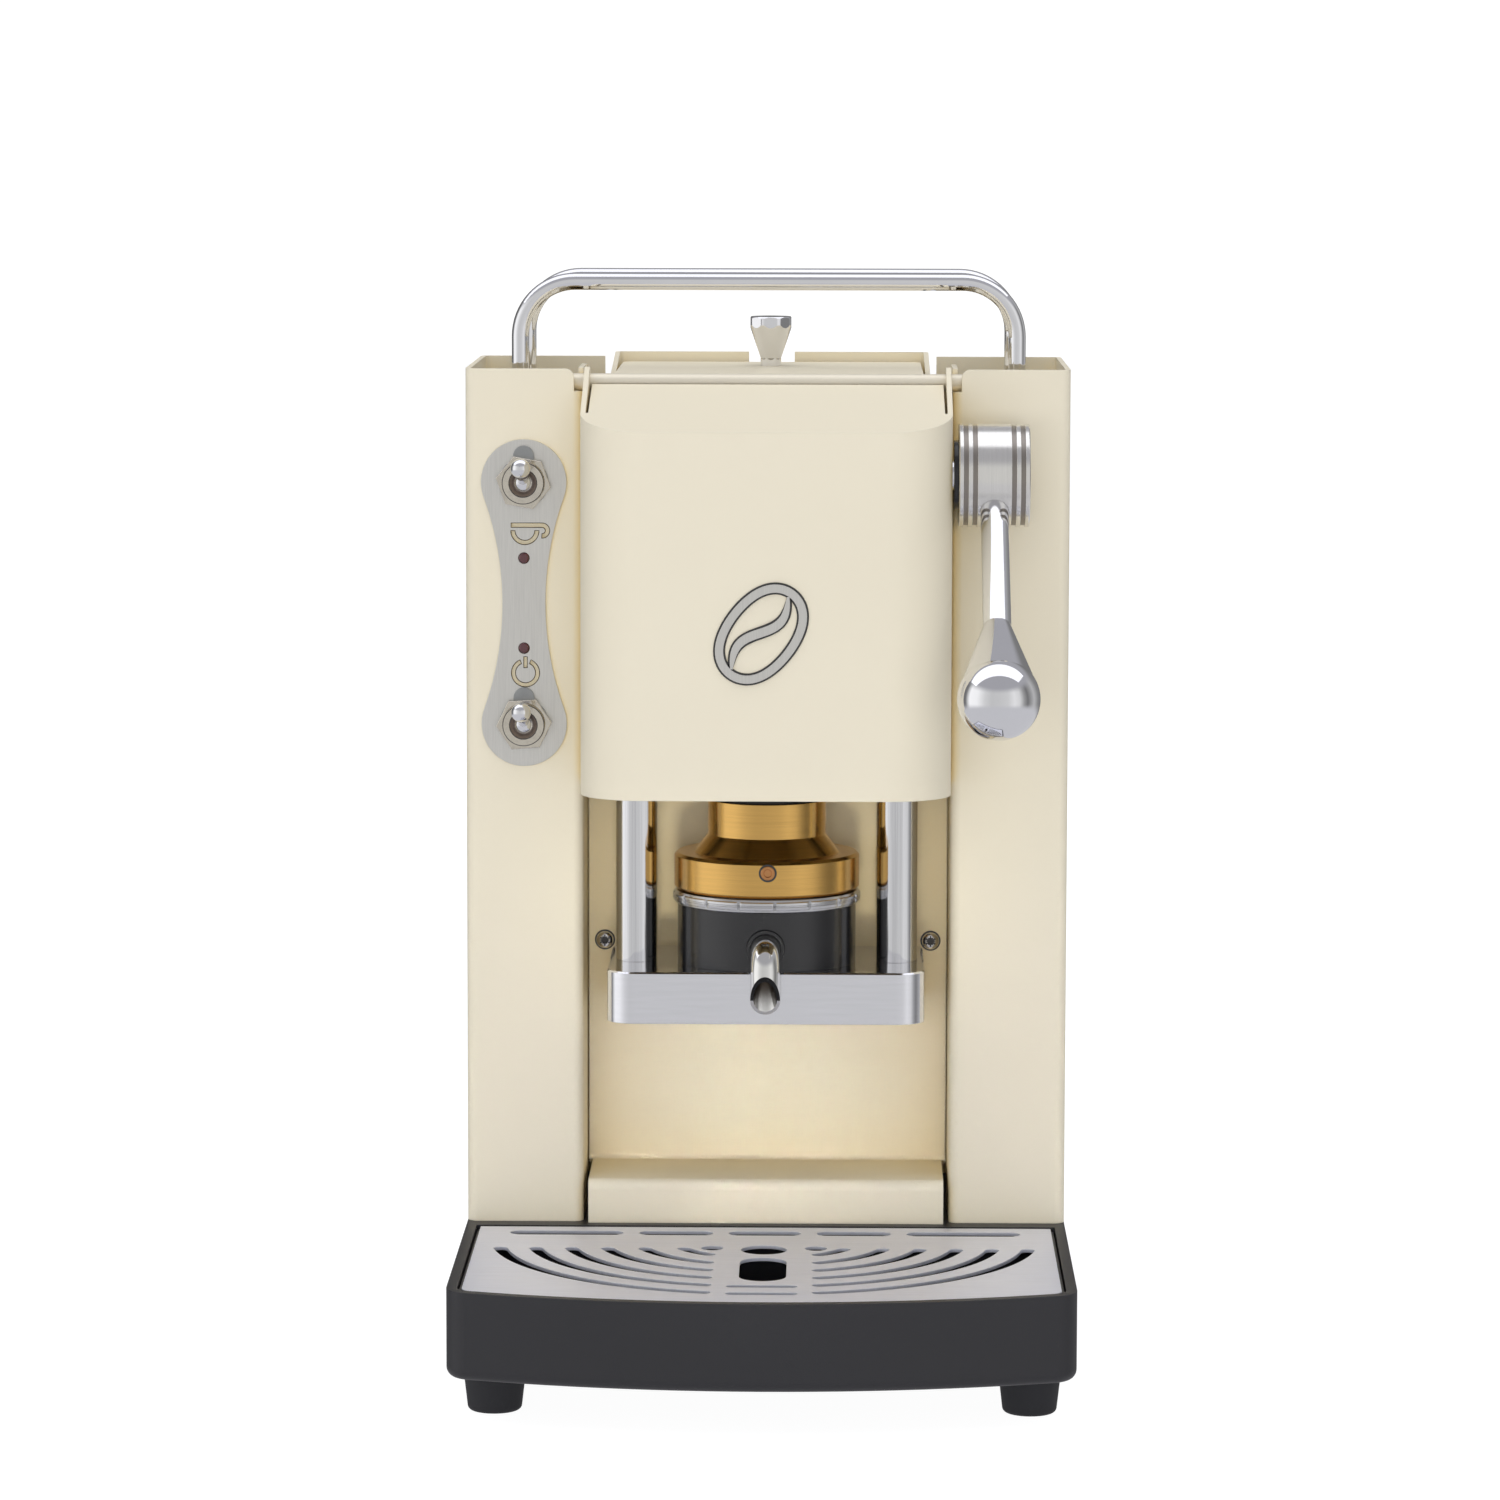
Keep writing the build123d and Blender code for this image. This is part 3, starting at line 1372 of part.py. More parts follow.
# Shelf behind the panel, and the water tank on it
cover_inner = rear_half_width - sheet
cover_back_y = rear_face_y - sheet
bay_depth = cover_back_y - panel_back_y
boiler_radius = boiler_depth_share * bay_depth
boiler_y = panel_back_y + boiler_gap + boiler_radius
outlet_y = boiler_y - outlet_place_share * boiler_radius
tank_front_y = outlet_y + hot_hose_radius + tank_front_gap
pump_half_height = pump_depth_share * bay_depth
pump_y = cover_back_y - pump_half_height
suction_y = pump_y
tank_rear_y = cover_back_y - tank_back_gap
tank_bottom = shelf_z + sheet
tank_mid_y = (tank_front_y + tank_rear_y) / 2
tank_depth = tank_rear_y - tank_front_y
tank_top = tank_bottom + tank_height
with BuildPart() as tank_shelf:
    with BuildSketch(Plane.XY.offset(shelf_z)):
        with BuildLine():
            FilletPolyline(
                (-cover_inner, panel_back_y),
                (-cover_inner, cover_back_y),
                (cover_inner, cover_back_y),
                (cover_inner, panel_back_y),
                radius=[0, bend_radius, bend_radius, 0],
                close=True,
            )
        make_face()
        with Locations((-suction_x, suction_y)):
            Circle(nipple_radius + seat_gap, mode=Mode.SUBTRACT)
        with Locations((0, outlet_y)):
            Circle(hot_hose_radius + seat_gap, mode=Mode.SUBTRACT)
    extrude(amount=sheet)
tank_shelf.part.label = "tank_shelf"
export_step(tank_shelf.part, "parts/tank_shelf.step")

with BuildPart() as water_tank:
    with BuildSketch(Plane.XY.offset(tank_bottom)):
        with Locations((0, tank_mid_y)):
            RectangleRounded(2 * tank_half_width, tank_depth, tank_corner_radius)
    extrude(amount=tank_height)
    with BuildSketch(Plane.XY.offset(tank_bottom + tank_wall)):
        with Locations((0, tank_mid_y)):
            RectangleRounded(
                2 * (tank_half_width - tank_wall), tank_depth - 2 * tank_wall, tank_corner_radius - tank_wall
            )
    extrude(amount=tank_height, mode=Mode.SUBTRACT)
    with BuildSketch(Plane.XY.offset(tank_bottom)):
        with Locations((-suction_x, suction_y)):
            Circle(nipple_radius)
    extrude(amount=-nipple_length)
    with BuildSketch(Plane.XY.offset(tank_bottom - nipple_length)):
        with Locations((-suction_x, suction_y)):
            Circle(nipple_bore)
    extrude(amount=nipple_length + tank_wall, mode=Mode.SUBTRACT)
water_tank.part.label = "water_tank"
export_step(water_tank.part, "parts/water_tank.step")

# Tank lid: sheet with a front flange and a rim that sits inside the tank
with BuildPart() as tank_lid:
    with BuildSketch(Plane.XY.offset(tank_top)):
        with BuildLine():
            FilletPolyline(
                (-lid_half_width, lid_front_y),
                (-lid_half_width, tank_rear_y),
                (lid_half_width, tank_rear_y),
                (lid_half_width, lid_front_y),
                radius=[0, lid_corner_radius, lid_corner_radius, 0],
                close=True,
            )
        make_face()
    extrude(amount=sheet)
    with BuildSketch(Plane.XY.offset(tank_top)):
        with Locations((0, lid_front_y)):
            Rectangle(2 * lid_half_width, sheet, align=(Align.CENTER, Align.MIN))
    extrude(amount=-(lid_flange_height - sheet))
    with BuildSketch(Plane.XY.offset(tank_top)):
        rim_inset = tank_wall + lid_rim_gap
        with Locations((0, tank_mid_y)):
            RectangleRounded(
                2 * (tank_half_width - rim_inset), tank_depth - 2 * rim_inset, tank_corner_radius - rim_inset
            )
            RectangleRounded(
                2 * (tank_half_width - rim_inset - sheet),
                tank_depth - 2 * (rim_inset + sheet),
                tank_corner_radius - rim_inset - sheet,
                mode=Mode.SUBTRACT,
            )
    extrude(amount=-lid_rim_height)
    fillet(tank_lid.edges().filter_by(Axis.X).group_by(Axis.Y)[0].sort_by(Axis.Z)[-1], inner_bend)
tank_lid.part.label = "tank_lid"
export_step(tank_lid.part, "parts/tank_lid.step")

# Lid knob: a flared cone whose head is cut to eight facets
lid_knob_y = tank_rear_y - lid_knob_inset
with BuildPart() as lid_knob:
    with BuildSketch(upright(0, lid_knob_y)):
        with BuildLine():
            Polyline(
                (0, lid_top),
                (knob_foot_radius, lid_top),
                (knob_foot_radius, lid_top + knob_waist_height),
                (knob_head_radius, lid_top + knob_facet_height),
                (knob_head_radius, lid_top + knob_height - knob_edge),
                (knob_head_radius - knob_edge, lid_top + knob_height),
                (0, lid_top + knob_height),
                close=True,
            )
        make_face()
    revolve(axis=upright_axis(0, lid_knob_y))
    with BuildSketch(Plane.XY.offset(lid_top)):
        with Locations((0, lid_knob_y)):
            RegularPolygon(knob_head_radius * knob_flats_share, 8, major_radius=False, rotation=22.5)
    extrude(amount=knob_height, mode=Mode.INTERSECT)
lid_knob.part.label = "lid_knob"
export_step(lid_knob.part, "parts/lid_knob.step")

# Boiler on the back of the centre panel, with its outlet and side port
boiler_top = boiler_bottom + boiler_height
thermostat_y = boiler_y + thermostat_offset
with BuildPart() as boiler:
    with BuildSketch(Plane.XY.offset(boiler_bottom)):
        with Locations((0, boiler_y)):
            Circle(boiler_radius)
    extrude(amount=boiler_height)
    fillet(boiler.faces().sort_by(Axis.Z)[0].edges(), boiler_round)
    fillet(boiler.faces().sort_by(Axis.Z)[-1].edges(), boiler_round)
    with BuildSketch(Plane.XY.offset(pad_bottom)):
        with Locations((0, panel_back_y)):
            Rectangle(2 * pad_half_width, boiler_y - panel_back_y, align=(Align.CENTER, Align.MIN))
    extrude(amount=pad_height)
    with BuildSketch(Plane.XY.offset(boiler_top)):
        with Locations((0, outlet_y)):
            Circle(outlet_radius)
    extrude(amount=outlet_height)
    with BuildSketch(Plane.YZ.offset(boiler_radius + side_port_length)):
        with Locations((boiler_y, pump_z)):
            Circle(side_port_radius)
    extrude(amount=-boiler_radius)
boiler.part.label = "boiler"
export_step(boiler.part, "parts/boiler.step")

with BuildPart() as thermostats:
    with BuildSketch(Plane.XY.offset(boiler_top)):
        with Locations((-thermostat_spread, thermostat_y), (thermostat_spread, thermostat_y)):
            Circle(thermostat_radius)
    extrude(amount=thermostat_height)
thermostats.part.label = "thermostats"
export_step(thermostats.part, "parts/thermostats.step")

# Pump on rubber mounts
with BuildPart() as pump:
    with BuildSketch(Plane.YZ.offset(pump_left_x)):
        with Locations((pump_y, pump_z)):
            RectangleRounded(2 * pump_half_height, 2 * pump_half_height, pump_round)
    extrude(amount=pump_right_x - pump_left_x)
    with BuildSketch(Plane.YZ.offset(pump_left_x)):
        with Locations((pump_y, pump_z)):
            Circle(nipple_radius)
    extrude(amount=-pump_inlet_length)
    with BuildSketch(Plane.YZ.offset(pump_right_x)):
        with Locations((pump_y, pump_z)):
            Circle(pump_outlet_radius)
    extrude(amount=pump_outlet_length)
pump.part.label = "pump"
export_step(pump.part, "parts/pump.step")

pump_mid_x = (pump_left_x + pump_right_x) / 2
with BuildPart() as pump_mounts:
    with BuildSketch(Plane.XY.offset(base_top)):
        with Locations((pump_mid_x - mount_spread, pump_y), (pump_mid_x + mount_spread, pump_y)):
            Rectangle(mount_width, mount_depth)
    extrude(amount=pump_z - pump_half_height - base_top)
pump_mounts.part.label = "pump_mounts"
export_step(pump_mounts.part, "parts/pump_mounts.step")

# Hoses, each plain along its route
hose_routes = {
    "hot_hose": (
        hot_hose_radius,
        hot_hose_bend,
        [(0, feed_nipple_end_y, feed_z), (0, outlet_y, feed_z), (0, outlet_y, boiler_top + outlet_height)],
    ),
    "suction_hose": (
        suction_hose_radius,
        suction_hose_bend,
        [
            (-suction_x, suction_y, tank_bottom - nipple_length),
            (-suction_x, suction_y, pump_z),
            (pump_left_x - pump_inlet_length, pump_y, pump_z),
        ],
    ),
    "pressure_hose": (
        pressure_hose_radius,
        pressure_hose_bend,
        [
            (pump_right_x + pump_outlet_length, pump_y, pump_z),
            (pump_right_x + pump_outlet_length + pressure_hose_reach, pump_y, pump_z),
            (pump_right_x + pump_outlet_length + pressure_hose_reach, boiler_y, pump_z),
            (boiler_radius + side_port_length, boiler_y, pump_z),
        ],
    ),
}
for name, (radius, bend, route) in hose_routes.items():
    with BuildPart() as hose:
        with BuildLine() as hose_line:
            FilletPolyline(*route, radius=bend)
        with BuildSketch(Plane(origin=route[0], z_dir=hose_line.line % 0)):
            Circle(radius)
        sweep()
    hose.part.label = name
    export_step(hose.part, f"parts/{name}.step")
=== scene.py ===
import json
import math

import bmesh
import bpy
from mathutils import Matrix, Vector


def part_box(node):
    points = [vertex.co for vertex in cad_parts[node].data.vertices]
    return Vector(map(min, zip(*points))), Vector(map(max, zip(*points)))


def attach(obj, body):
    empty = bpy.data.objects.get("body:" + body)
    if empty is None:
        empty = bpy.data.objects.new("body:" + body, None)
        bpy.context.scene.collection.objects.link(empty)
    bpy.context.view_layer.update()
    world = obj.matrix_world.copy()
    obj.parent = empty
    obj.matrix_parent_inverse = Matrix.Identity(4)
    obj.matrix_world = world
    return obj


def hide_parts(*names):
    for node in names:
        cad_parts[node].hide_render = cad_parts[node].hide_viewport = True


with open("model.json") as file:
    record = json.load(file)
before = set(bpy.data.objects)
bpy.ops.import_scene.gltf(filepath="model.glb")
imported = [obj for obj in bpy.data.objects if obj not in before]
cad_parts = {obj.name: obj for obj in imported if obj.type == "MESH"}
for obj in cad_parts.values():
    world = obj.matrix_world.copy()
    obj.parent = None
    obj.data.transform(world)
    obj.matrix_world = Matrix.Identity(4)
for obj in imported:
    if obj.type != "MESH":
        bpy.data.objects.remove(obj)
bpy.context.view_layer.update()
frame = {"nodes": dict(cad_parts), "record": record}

MM = 0.001
FULL_TURN = 2 * math.pi
ON_AXIS = 0.0001

# Places on the machine, in metres, as the CAD has them
PLATE_LOW, PLATE_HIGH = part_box("switch_plate")
SWITCH_X = (PLATE_LOW.x + PLATE_HIGH.x) / 2
SWITCH_MID_Z = (PLATE_LOW.z + PLATE_HIGH.z) / 2
SWITCH_STEP = 35.1 * MM
LAMP_Z = (233.2 * MM, 207.0 * MM)
HOOD_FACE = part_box("hood")[0].y
GROUP_Y = 8.0 * MM
PANEL_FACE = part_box("group_plate")[1].y
LEVER_AXIS_Y, LEVER_AXIS_Z = -16.5 * MM, 258.8 * MM

# Numbers of the colour sockets on a Mix node
MIX_UNDER, MIX_OVER, MIX_OUT = 6, 7, 2


# Shader groups: each puts out only values, colours or normals that change over the surface
def new_group(name, inputs, outputs):
    group = bpy.data.node_groups.new(name, "ShaderNodeTree")
    for label, kind, value in inputs:
        socket = group.interface.new_socket(name=label, in_out="INPUT", socket_type=kind)
        socket.default_value = value
    for label, kind in outputs:
        group.interface.new_socket(name=label, in_out="OUTPUT", socket_type=kind)
    return group, group.nodes.new("NodeGroupInput"), group.nodes.new("NodeGroupOutput")


def add_node(tree, kind, sockets=None, **settings):
    """A new node with its settings, and with the given values on its input sockets."""
    node = tree.nodes.new(kind)
    for key, value in settings.items():
        setattr(node, key, value)
    for key, value in (sockets or {}).items():
        node.inputs[key].default_value = value
    return node


def make_brushing():
    """Fine lines along the directions that Stretch keeps short."""
    group, given, out = new_group(
        "brushed lines",
        [("Stretch", "NodeSocketVector", (1, 1, 1))],
        [("Lines", "NodeSocketFloat"), ("Broad", "NodeSocketFloat")],
    )
    place = add_node(group, "ShaderNodeTexCoord")
    pulled = add_node(group, "ShaderNodeVectorMath", operation="MULTIPLY")
    fine = add_node(group, "ShaderNodeTexNoise", {"Scale": 1.0, "Detail": 4.0, "Roughness": 0.72})
    level = add_node(group, "ShaderNodeMapRange", {"From Min": 0.28, "From Max": 0.72})
    wider = add_node(group, "ShaderNodeVectorMath", {"Scale": 0.09}, operation="SCALE")
    broad = add_node(group, "ShaderNodeTexNoise", {"Scale": 1.0, "Detail": 1.0})
    link = group.links.new
    link(place.outputs["Object"], pulled.inputs[0])
    link(given.outputs["Stretch"], pulled.inputs[1])
    link(pulled.outputs["Vector"], fine.inputs["Vector"])
    link(fine.outputs["Fac"], level.inputs["Value"])
    link(level.outputs["Result"], out.inputs["Lines"])
    link(pulled.outputs["Vector"], wider.inputs[0])
    link(wider.outputs["Vector"], broad.inputs["Vector"])
    link(broad.outputs["Fac"], out.inputs["Broad"])
    return group


def make_grain():
    """Fine even grain with a coarser roll under it, as on powder paint and moulded plastic."""
    group, given, out = new_group(
        "surface grain",
        [("Grain size", "NodeSocketFloat", 0.3), ("Coarse share", "NodeSocketFloat", 0.4)],
        [("Height", "NodeSocketFloat"), ("Patches", "NodeSocketFloat")],
    )
    place = add_node(group, "ShaderNodeTexCoord")
    fine_scale = add_node(group, "ShaderNodeMath", {0: 1 / MM}, operation="DIVIDE")
    coarse_scale = add_node(group, "ShaderNodeMath", {1: 0.21}, operation="MULTIPLY")
    fine = add_node(group, "ShaderNodeTexNoise", {"Detail": 3.0})
    coarse = add_node(group, "ShaderNodeTexNoise", {"Detail": 1.5})
    patch = add_node(group, "ShaderNodeTexNoise", {"Scale": 14.0, "Detail": 3.0})
    mixed = add_node(group, "ShaderNodeMix", data_type="FLOAT")
    link = group.links.new
    link(given.outputs["Grain size"], fine_scale.inputs[1])
    link(fine_scale.outputs["Value"], fine.inputs["Scale"])
    link(fine_scale.outputs["Value"], coarse_scale.inputs[0])
    link(coarse_scale.outputs["Value"], coarse.inputs["Scale"])
    for texture in (fine, coarse, patch):
        link(place.outputs["Object"], texture.inputs["Vector"])
    link(given.outputs["Coarse share"], mixed.inputs["Factor"])
    link(fine.outputs["Fac"], mixed.inputs["A"])
    link(coarse.outputs["Fac"], mixed.inputs["B"])
    link(mixed.outputs["Result"], out.inputs["Height"])
    link(patch.outputs["Fac"], out.inputs["Patches"])
    return group


def make_edges():
    """Where an edge is: a mask that is 1 at a rounded edge, which the materials use for a painted highlight,
    and the normal of the rounded edge.
    """
    group, given, out = new_group(
        "edge highlight",
        [("Radius", "NodeSocketFloat", 0.4)],
        [("Mask", "NodeSocketFloat"), ("Normal", "NodeSocketVector")],
    )
    size = add_node(group, "ShaderNodeMath", {1: MM}, operation="MULTIPLY")
    rounded = add_node(group, "ShaderNodeBevel", samples=4)
    flat = add_node(group, "ShaderNodeNewGeometry")
    likeness = add_node(group, "ShaderNodeVectorMath", operation="DOT_PRODUCT")
    ramp = add_node(group, "ShaderNodeMapRange", {"From Min": 0.995, "From Max": 0.80})
    link = group.links.new
    link(given.outputs["Radius"], size.inputs[0])
    link(size.outputs["Value"], rounded.inputs["Radius"])
    link(rounded.outputs["Normal"], likeness.inputs[0])
    link(flat.outputs["Normal"], likeness.inputs[1])
    link(likeness.outputs["Value"], ramp.inputs["Value"])
    link(ramp.outputs["Result"], out.inputs["Mask"])
    link(rounded.outputs["Normal"], out.inputs["Normal"])
    return group


def make_shade_mask():
    """A mask that goes from 0 in the open to 1 where the surfaces round about close a place in; the materials
    use it to paint shade there.
    """
    group, given, out = new_group(
        "shelter",
        [
            ("Reach", "NodeSocketFloat", 10.0),
            ("Open at", "NodeSocketFloat", 1.0),
            ("Deep at", "NodeSocketFloat", 0.0),
        ],
        [("Mask", "NodeSocketFloat")],
    )
    reach = add_node(group, "ShaderNodeMath", {1: MM}, operation="MULTIPLY")
    sky = add_node(group, "ShaderNodeAmbientOcclusion", samples=6)
    ramp = add_node(group, "ShaderNodeMapRange")
    link = group.links.new
    link(given.outputs["Reach"], reach.inputs[0])
    link(reach.outputs["Value"], sky.inputs["Distance"])
    link(sky.outputs["AO"], ramp.inputs["Value"])
    link(given.outputs["Open at"], ramp.inputs["From Min"])
    link(given.outputs["Deep at"], ramp.inputs["From Max"])
    link(ramp.outputs["Result"], out.inputs["Mask"])
    return group


BRUSHING = make_brushing()
GRAIN = make_grain()
EDGES = make_edges()
SHADE_MASK = make_shade_mask()


# Materials
def toned(colour, share):
    """The colour made lighter or darker by that share."""
    return tuple(min(1.0, part * share) for part in colour)


class Finish:
    """One material: a Principled shader, with helpers that wire the groups into it."""

    def __init__(self, name, colour, metallic=0.0, roughness=0.5, **uniform):
        self.material = bpy.data.materials.new(name)
        self.material.use_nodes = True
        self.tree = self.material.node_tree
        self.shader = self.tree.nodes["Principled BSDF"]
        self.link = self.tree.links.new
        self.colour = (*colour, 1.0)
        self.shader.inputs["Base Color"].default_value = self.colour
        self.shader.inputs["Metallic"].default_value = metallic
        self.shader.inputs["Roughness"].default_value = roughness
        for key, value in uniform.items():
            self.shader.inputs[key.replace("_", " ")].default_value = value
        self.under = None
        self.normal = None

    def place(self, group, **values):
        """A group in this material, with values on its sockets."""
        sockets = {key.replace("_", " "): value for key, value in values.items()}
        return add_node(self.tree, "ShaderNodeGroup", sockets, node_tree=group)

    def spread(self, source, low, high):
        """The source value, 0 to 1, spreads the roughness between low and high."""
        node = add_node(self.tree, "ShaderNodeMapRange", {"To Min": low, "To Max": high})
        self.link(source, node.inputs["Value"])
        self.link(node.outputs["Result"], self.shader.inputs["Roughness"])

    def blend(self, source, other):
        """Base colour goes from what it is so far to other where the source value is 1."""
        node = add_node(self.tree, "ShaderNodeMix", data_type="RGBA")
        node.inputs[MIX_UNDER].default_value = self.colour
        node.inputs[MIX_OVER].default_value = (*other, 1.0)
        self.link(source, node.inputs["Factor"])
        if self.under is not None:
            self.link(self.under, node.inputs[MIX_UNDER])
        self.under = node.outputs[MIX_OUT]
        self.link(self.under, self.shader.inputs["Base Color"])

    def set_normal(self, normal):
        self.normal = normal
        self.link(normal, self.shader.inputs["Normal"])

    def bump(self, height, strength, depth):
        """Fine relief of that depth in millimetres."""
        node = add_node(self.tree, "ShaderNodeBump", {"Strength": strength, "Distance": depth * MM})
        self.link(height, node.inputs["Height"])
        if self.normal is not None:
            self.link(self.normal, node.inputs["Normal"])
        self.set_normal(node.outputs["Normal"])

    def edges(self, radius):
        """Rounds the edges for the light by that radius in millimetres, and gives their mask."""
        node = self.place(EDGES, Radius=radius)
        self.set_normal(node.outputs["Normal"])
        return node.outputs["Mask"]


def cream_paint():
    """Powder paint, with painted warm shade where a corner closes it in and a painted highlight along its
    edges.
    """
    f = Finish("cream powder paint", (0.835, 0.757, 0.572), roughness=0.46, Specular_IOR_Level=0.42)
    grain = f.place(GRAIN, Grain_size=0.55, Coarse_share=0.45)
    edge_highlight = f.edges(0.35)
    painted_warm_shade = f.place(SHADE_MASK, Reach=70.0, Open_at=0.50, Deep_at=0.10)
    f.blend(grain.outputs["Patches"], (0.820, 0.742, 0.555))
    # Painted shade: warmer, deeper colour where the surfaces round about close the paint in
    f.blend(painted_warm_shade.outputs["Mask"], (0.93, 0.78, 0.46))
    # Painted highlight: paler colour along the rounded edges
    f.blend(edge_highlight, (0.865, 0.80, 0.64))
    f.spread(grain.outputs["Patches"], 0.42, 0.52)
    f.bump(grain.outputs["Height"], 0.35, 0.03)
    return f.material


def black_plastic(name, colour, roughness, grain_size, depth):
    f = Finish(name, colour, roughness=roughness, Specular_IOR_Level=0.5)
    grain = f.place(GRAIN, Grain_size=grain_size, Coarse_share=0.25)
    edge_highlight = f.edges(0.4)
    f.blend(grain.outputs["Patches"], toned(colour, 1.25))
    # Painted highlight: lighter colour along the rounded edges
    f.blend(edge_highlight, toned(colour, 2.2))
    f.spread(grain.outputs["Patches"], roughness - 0.05, roughness + 0.08)
    f.bump(grain.outputs["Height"], 0.5, depth)
    return f.material


def worked_metal(name, colour, roughness, stretch, depth, edge=0.25, spread=0.08, dark=0.88, metallic=1.0):
    """Metal with lines from brushing or turning: stretch is high across the lines and low along them."""
    f = Finish(name, colour, metallic=metallic, roughness=roughness)
    lines = f.place(BRUSHING, Stretch=stretch)
    if edge:
        edge_highlight = f.edges(edge)
    f.blend(lines.outputs["Lines"], toned(colour, dark))
    # Painted highlight: lighter colour along the rounded edges
    if edge:
        f.blend(edge_highlight, toned(colour, 1.12))
    f.spread(lines.outputs["Broad"], max(0.01, roughness - spread), roughness + spread)
    if depth:
        f.bump(lines.outputs["Lines"], 0.4, depth)
    return f.material


def spout_chrome():
    """Bright outside; inside, where the tube shelters itself, rougher and dark brown with painted shade."""
    f = Finish("spout chrome", (0.78, 0.775, 0.76), metallic=1.0, roughness=0.05)
    lines = f.place(BRUSHING, Stretch=(40, 40, 40))
    inside = f.place(SHADE_MASK, Reach=12.0, Open_at=0.86, Deep_at=0.52)
    f.blend(lines.outputs["Lines"], (0.74, 0.735, 0.715))
    # Painted shade: dark brown inside the tube
    f.blend(inside.outputs["Mask"], (0.07, 0.055, 0.042))
    f.spread(inside.outputs["Mask"], 0.05, 0.38)
    return f.material


def clear_plastic():
    f = Finish("clear tank plastic", (0.86, 0.90, 0.92), roughness=0.22, IOR=1.46, Transmission_Weight=0.85)
    grain = f.place(GRAIN, Grain_size=1.2, Coarse_share=0.6)
    f.blend(grain.outputs["Patches"], (0.80, 0.86, 0.89))
    f.spread(grain.outputs["Patches"], 0.16, 0.30)
    f.bump(grain.outputs["Height"], 0.2, 0.02)
    return f.material


def silicone():
    f = Finish("milky silicone", (0.80, 0.80, 0.77), roughness=0.42, IOR=1.41, Transmission_Weight=0.25)
    grain = f.place(GRAIN, Grain_size=0.8, Coarse_share=0.5)
    f.blend(grain.outputs["Patches"], (0.72, 0.73, 0.71))
    f.spread(grain.outputs["Patches"], 0.36, 0.50)
    f.bump(grain.outputs["Height"], 0.2, 0.02)
    return f.material


def lamp_lens():
    f = Finish("dark red lens", (0.060, 0.010, 0.014), roughness=0.12, Coat_Weight=1.0, Coat_Roughness=0.04)
    grain = f.place(GRAIN, Grain_size=0.5, Coarse_share=0.5)
    f.blend(grain.outputs["Patches"], (0.085, 0.012, 0.016))
    f.spread(grain.outputs["Patches"], 0.10, 0.20)
    f.bump(grain.outputs["Height"], 0.15, 0.01)
    return f.material


# The bore wall inside each switch bushing, brown with painted shade
def painted_throat_shade():
    f = Finish("painted brown throat shade", (0.25, 0.19, 0.145), roughness=0.5)
    grain = f.place(GRAIN, Grain_size=0.3, Coarse_share=0.3)
    f.blend(grain.outputs["Patches"], (0.19, 0.14, 0.105))
    f.bump(grain.outputs["Height"], 0.3, 0.02)
    return f.material


CREAM = cream_paint()
BASE_BLACK = black_plastic("black base plastic", (0.0150, 0.0145, 0.0165), 0.45, 0.5, 0.03)
RUBBER = black_plastic("foot rubber", (0.016, 0.016, 0.018), 0.66, 0.35, 0.03)
RESIN = black_plastic("black resin", (0.012, 0.012, 0.013), 0.17, 0.9, 0.004)
PUMP_BLACK = black_plastic("pump plastic", (0.03, 0.03, 0.032), 0.5, 0.7, 0.05)
SPOUT = spout_chrome()
TANK = clear_plastic()
HOSE = silicone()
LAMP = lamp_lens()
THROAT_SHADE = painted_throat_shade()
PLATE_STEEL = worked_metal(
    "steel brushed across", (0.90, 0.91, 0.99), 0.50, (60, 2600, 400), 0.004, metallic=0.8
)
UPRIGHT_STEEL = worked_metal("steel brushed upright", (0.80, 0.785, 0.74), 0.36, (2600, 2600, 70), 0.004)
CARRIER_STEEL = worked_metal("plain steel", (0.56, 0.56, 0.57), 0.34, (500, 500, 500), 0.01, dark=0.8)
HUB_STEEL = worked_metal("turned steel", (0.86, 0.845, 0.81), 0.20, (3600, 30, 30), 0.006)
CHROME = worked_metal("bright chrome", (0.80, 0.80, 0.82), 0.035, (40, 40, 40), 0.0, spread=0.02, dark=0.96)
POST_CHROME = worked_metal(
    "ground chrome", (0.78, 0.78, 0.80), 0.09, (1700, 1700, 12), 0.003, spread=0.03, dark=0.80
)
GROUP_CHROME = worked_metal(
    "satin chrome", (0.79, 0.79, 0.83), 0.13, (50, 50, 900), 0.002, spread=0.03, dark=0.95
)
NICKEL = worked_metal(
    "warm nickel", (0.71, 0.66, 0.57), 0.10, (300, 300, 300), 0.002, edge=0.4, spread=0.04, dark=0.8
)
BRASS = worked_metal("turned brass", (0.75, 0.455, 0.14), 0.20, (40, 40, 4200), 0.004, spread=0.05, dark=0.84)
BRONZE = worked_metal("bronze bush", (0.60, 0.40, 0.18), 0.30, (600, 600, 600), 0.004)
SEAL = worked_metal("bright seal", (0.66, 0.66, 0.67), 0.24, (300, 300, 2400), 0.004, spread=0.05)
CAST = worked_metal("cast alloy", (0.55, 0.55, 0.56), 0.5, (420, 420, 420), 0.12, dark=0.7)
WASHER_GREY = worked_metal("dark washer", (0.40, 0.41, 0.41), 0.36, (300, 300, 300), 0.004)
SATIN_ROD = worked_metal(
    "satin rod", (0.85, 0.79, 0.65), 0.55, (30, 900, 900), 0.002, spread=0.04, dark=0.95, metallic=0.75
)
SIGN_SHADE_BROWN = worked_metal("painted sign shade", (0.10, 0.075, 0.05), 0.5, (900, 900, 900), 0.002, edge=0)
GROOVE_SHADE_GREY = worked_metal("painted groove shade", (0.33, 0.30, 0.27), 0.38, (3000, 40, 40), 0.004, edge=0)
COPPER = worked_metal("copper screw", (0.60, 0.285, 0.115), 0.26, (500, 500, 500), 0.003, edge=0.15)
# Dark steel for the emblem backing, and dark material for painted shade in gaps, sockets and rims
DARK_STEEL_AND_SHADE = worked_metal("dark steel and painted shade", (0.10, 0.098, 0.095), 0.35, (300, 300, 300), 0.004)

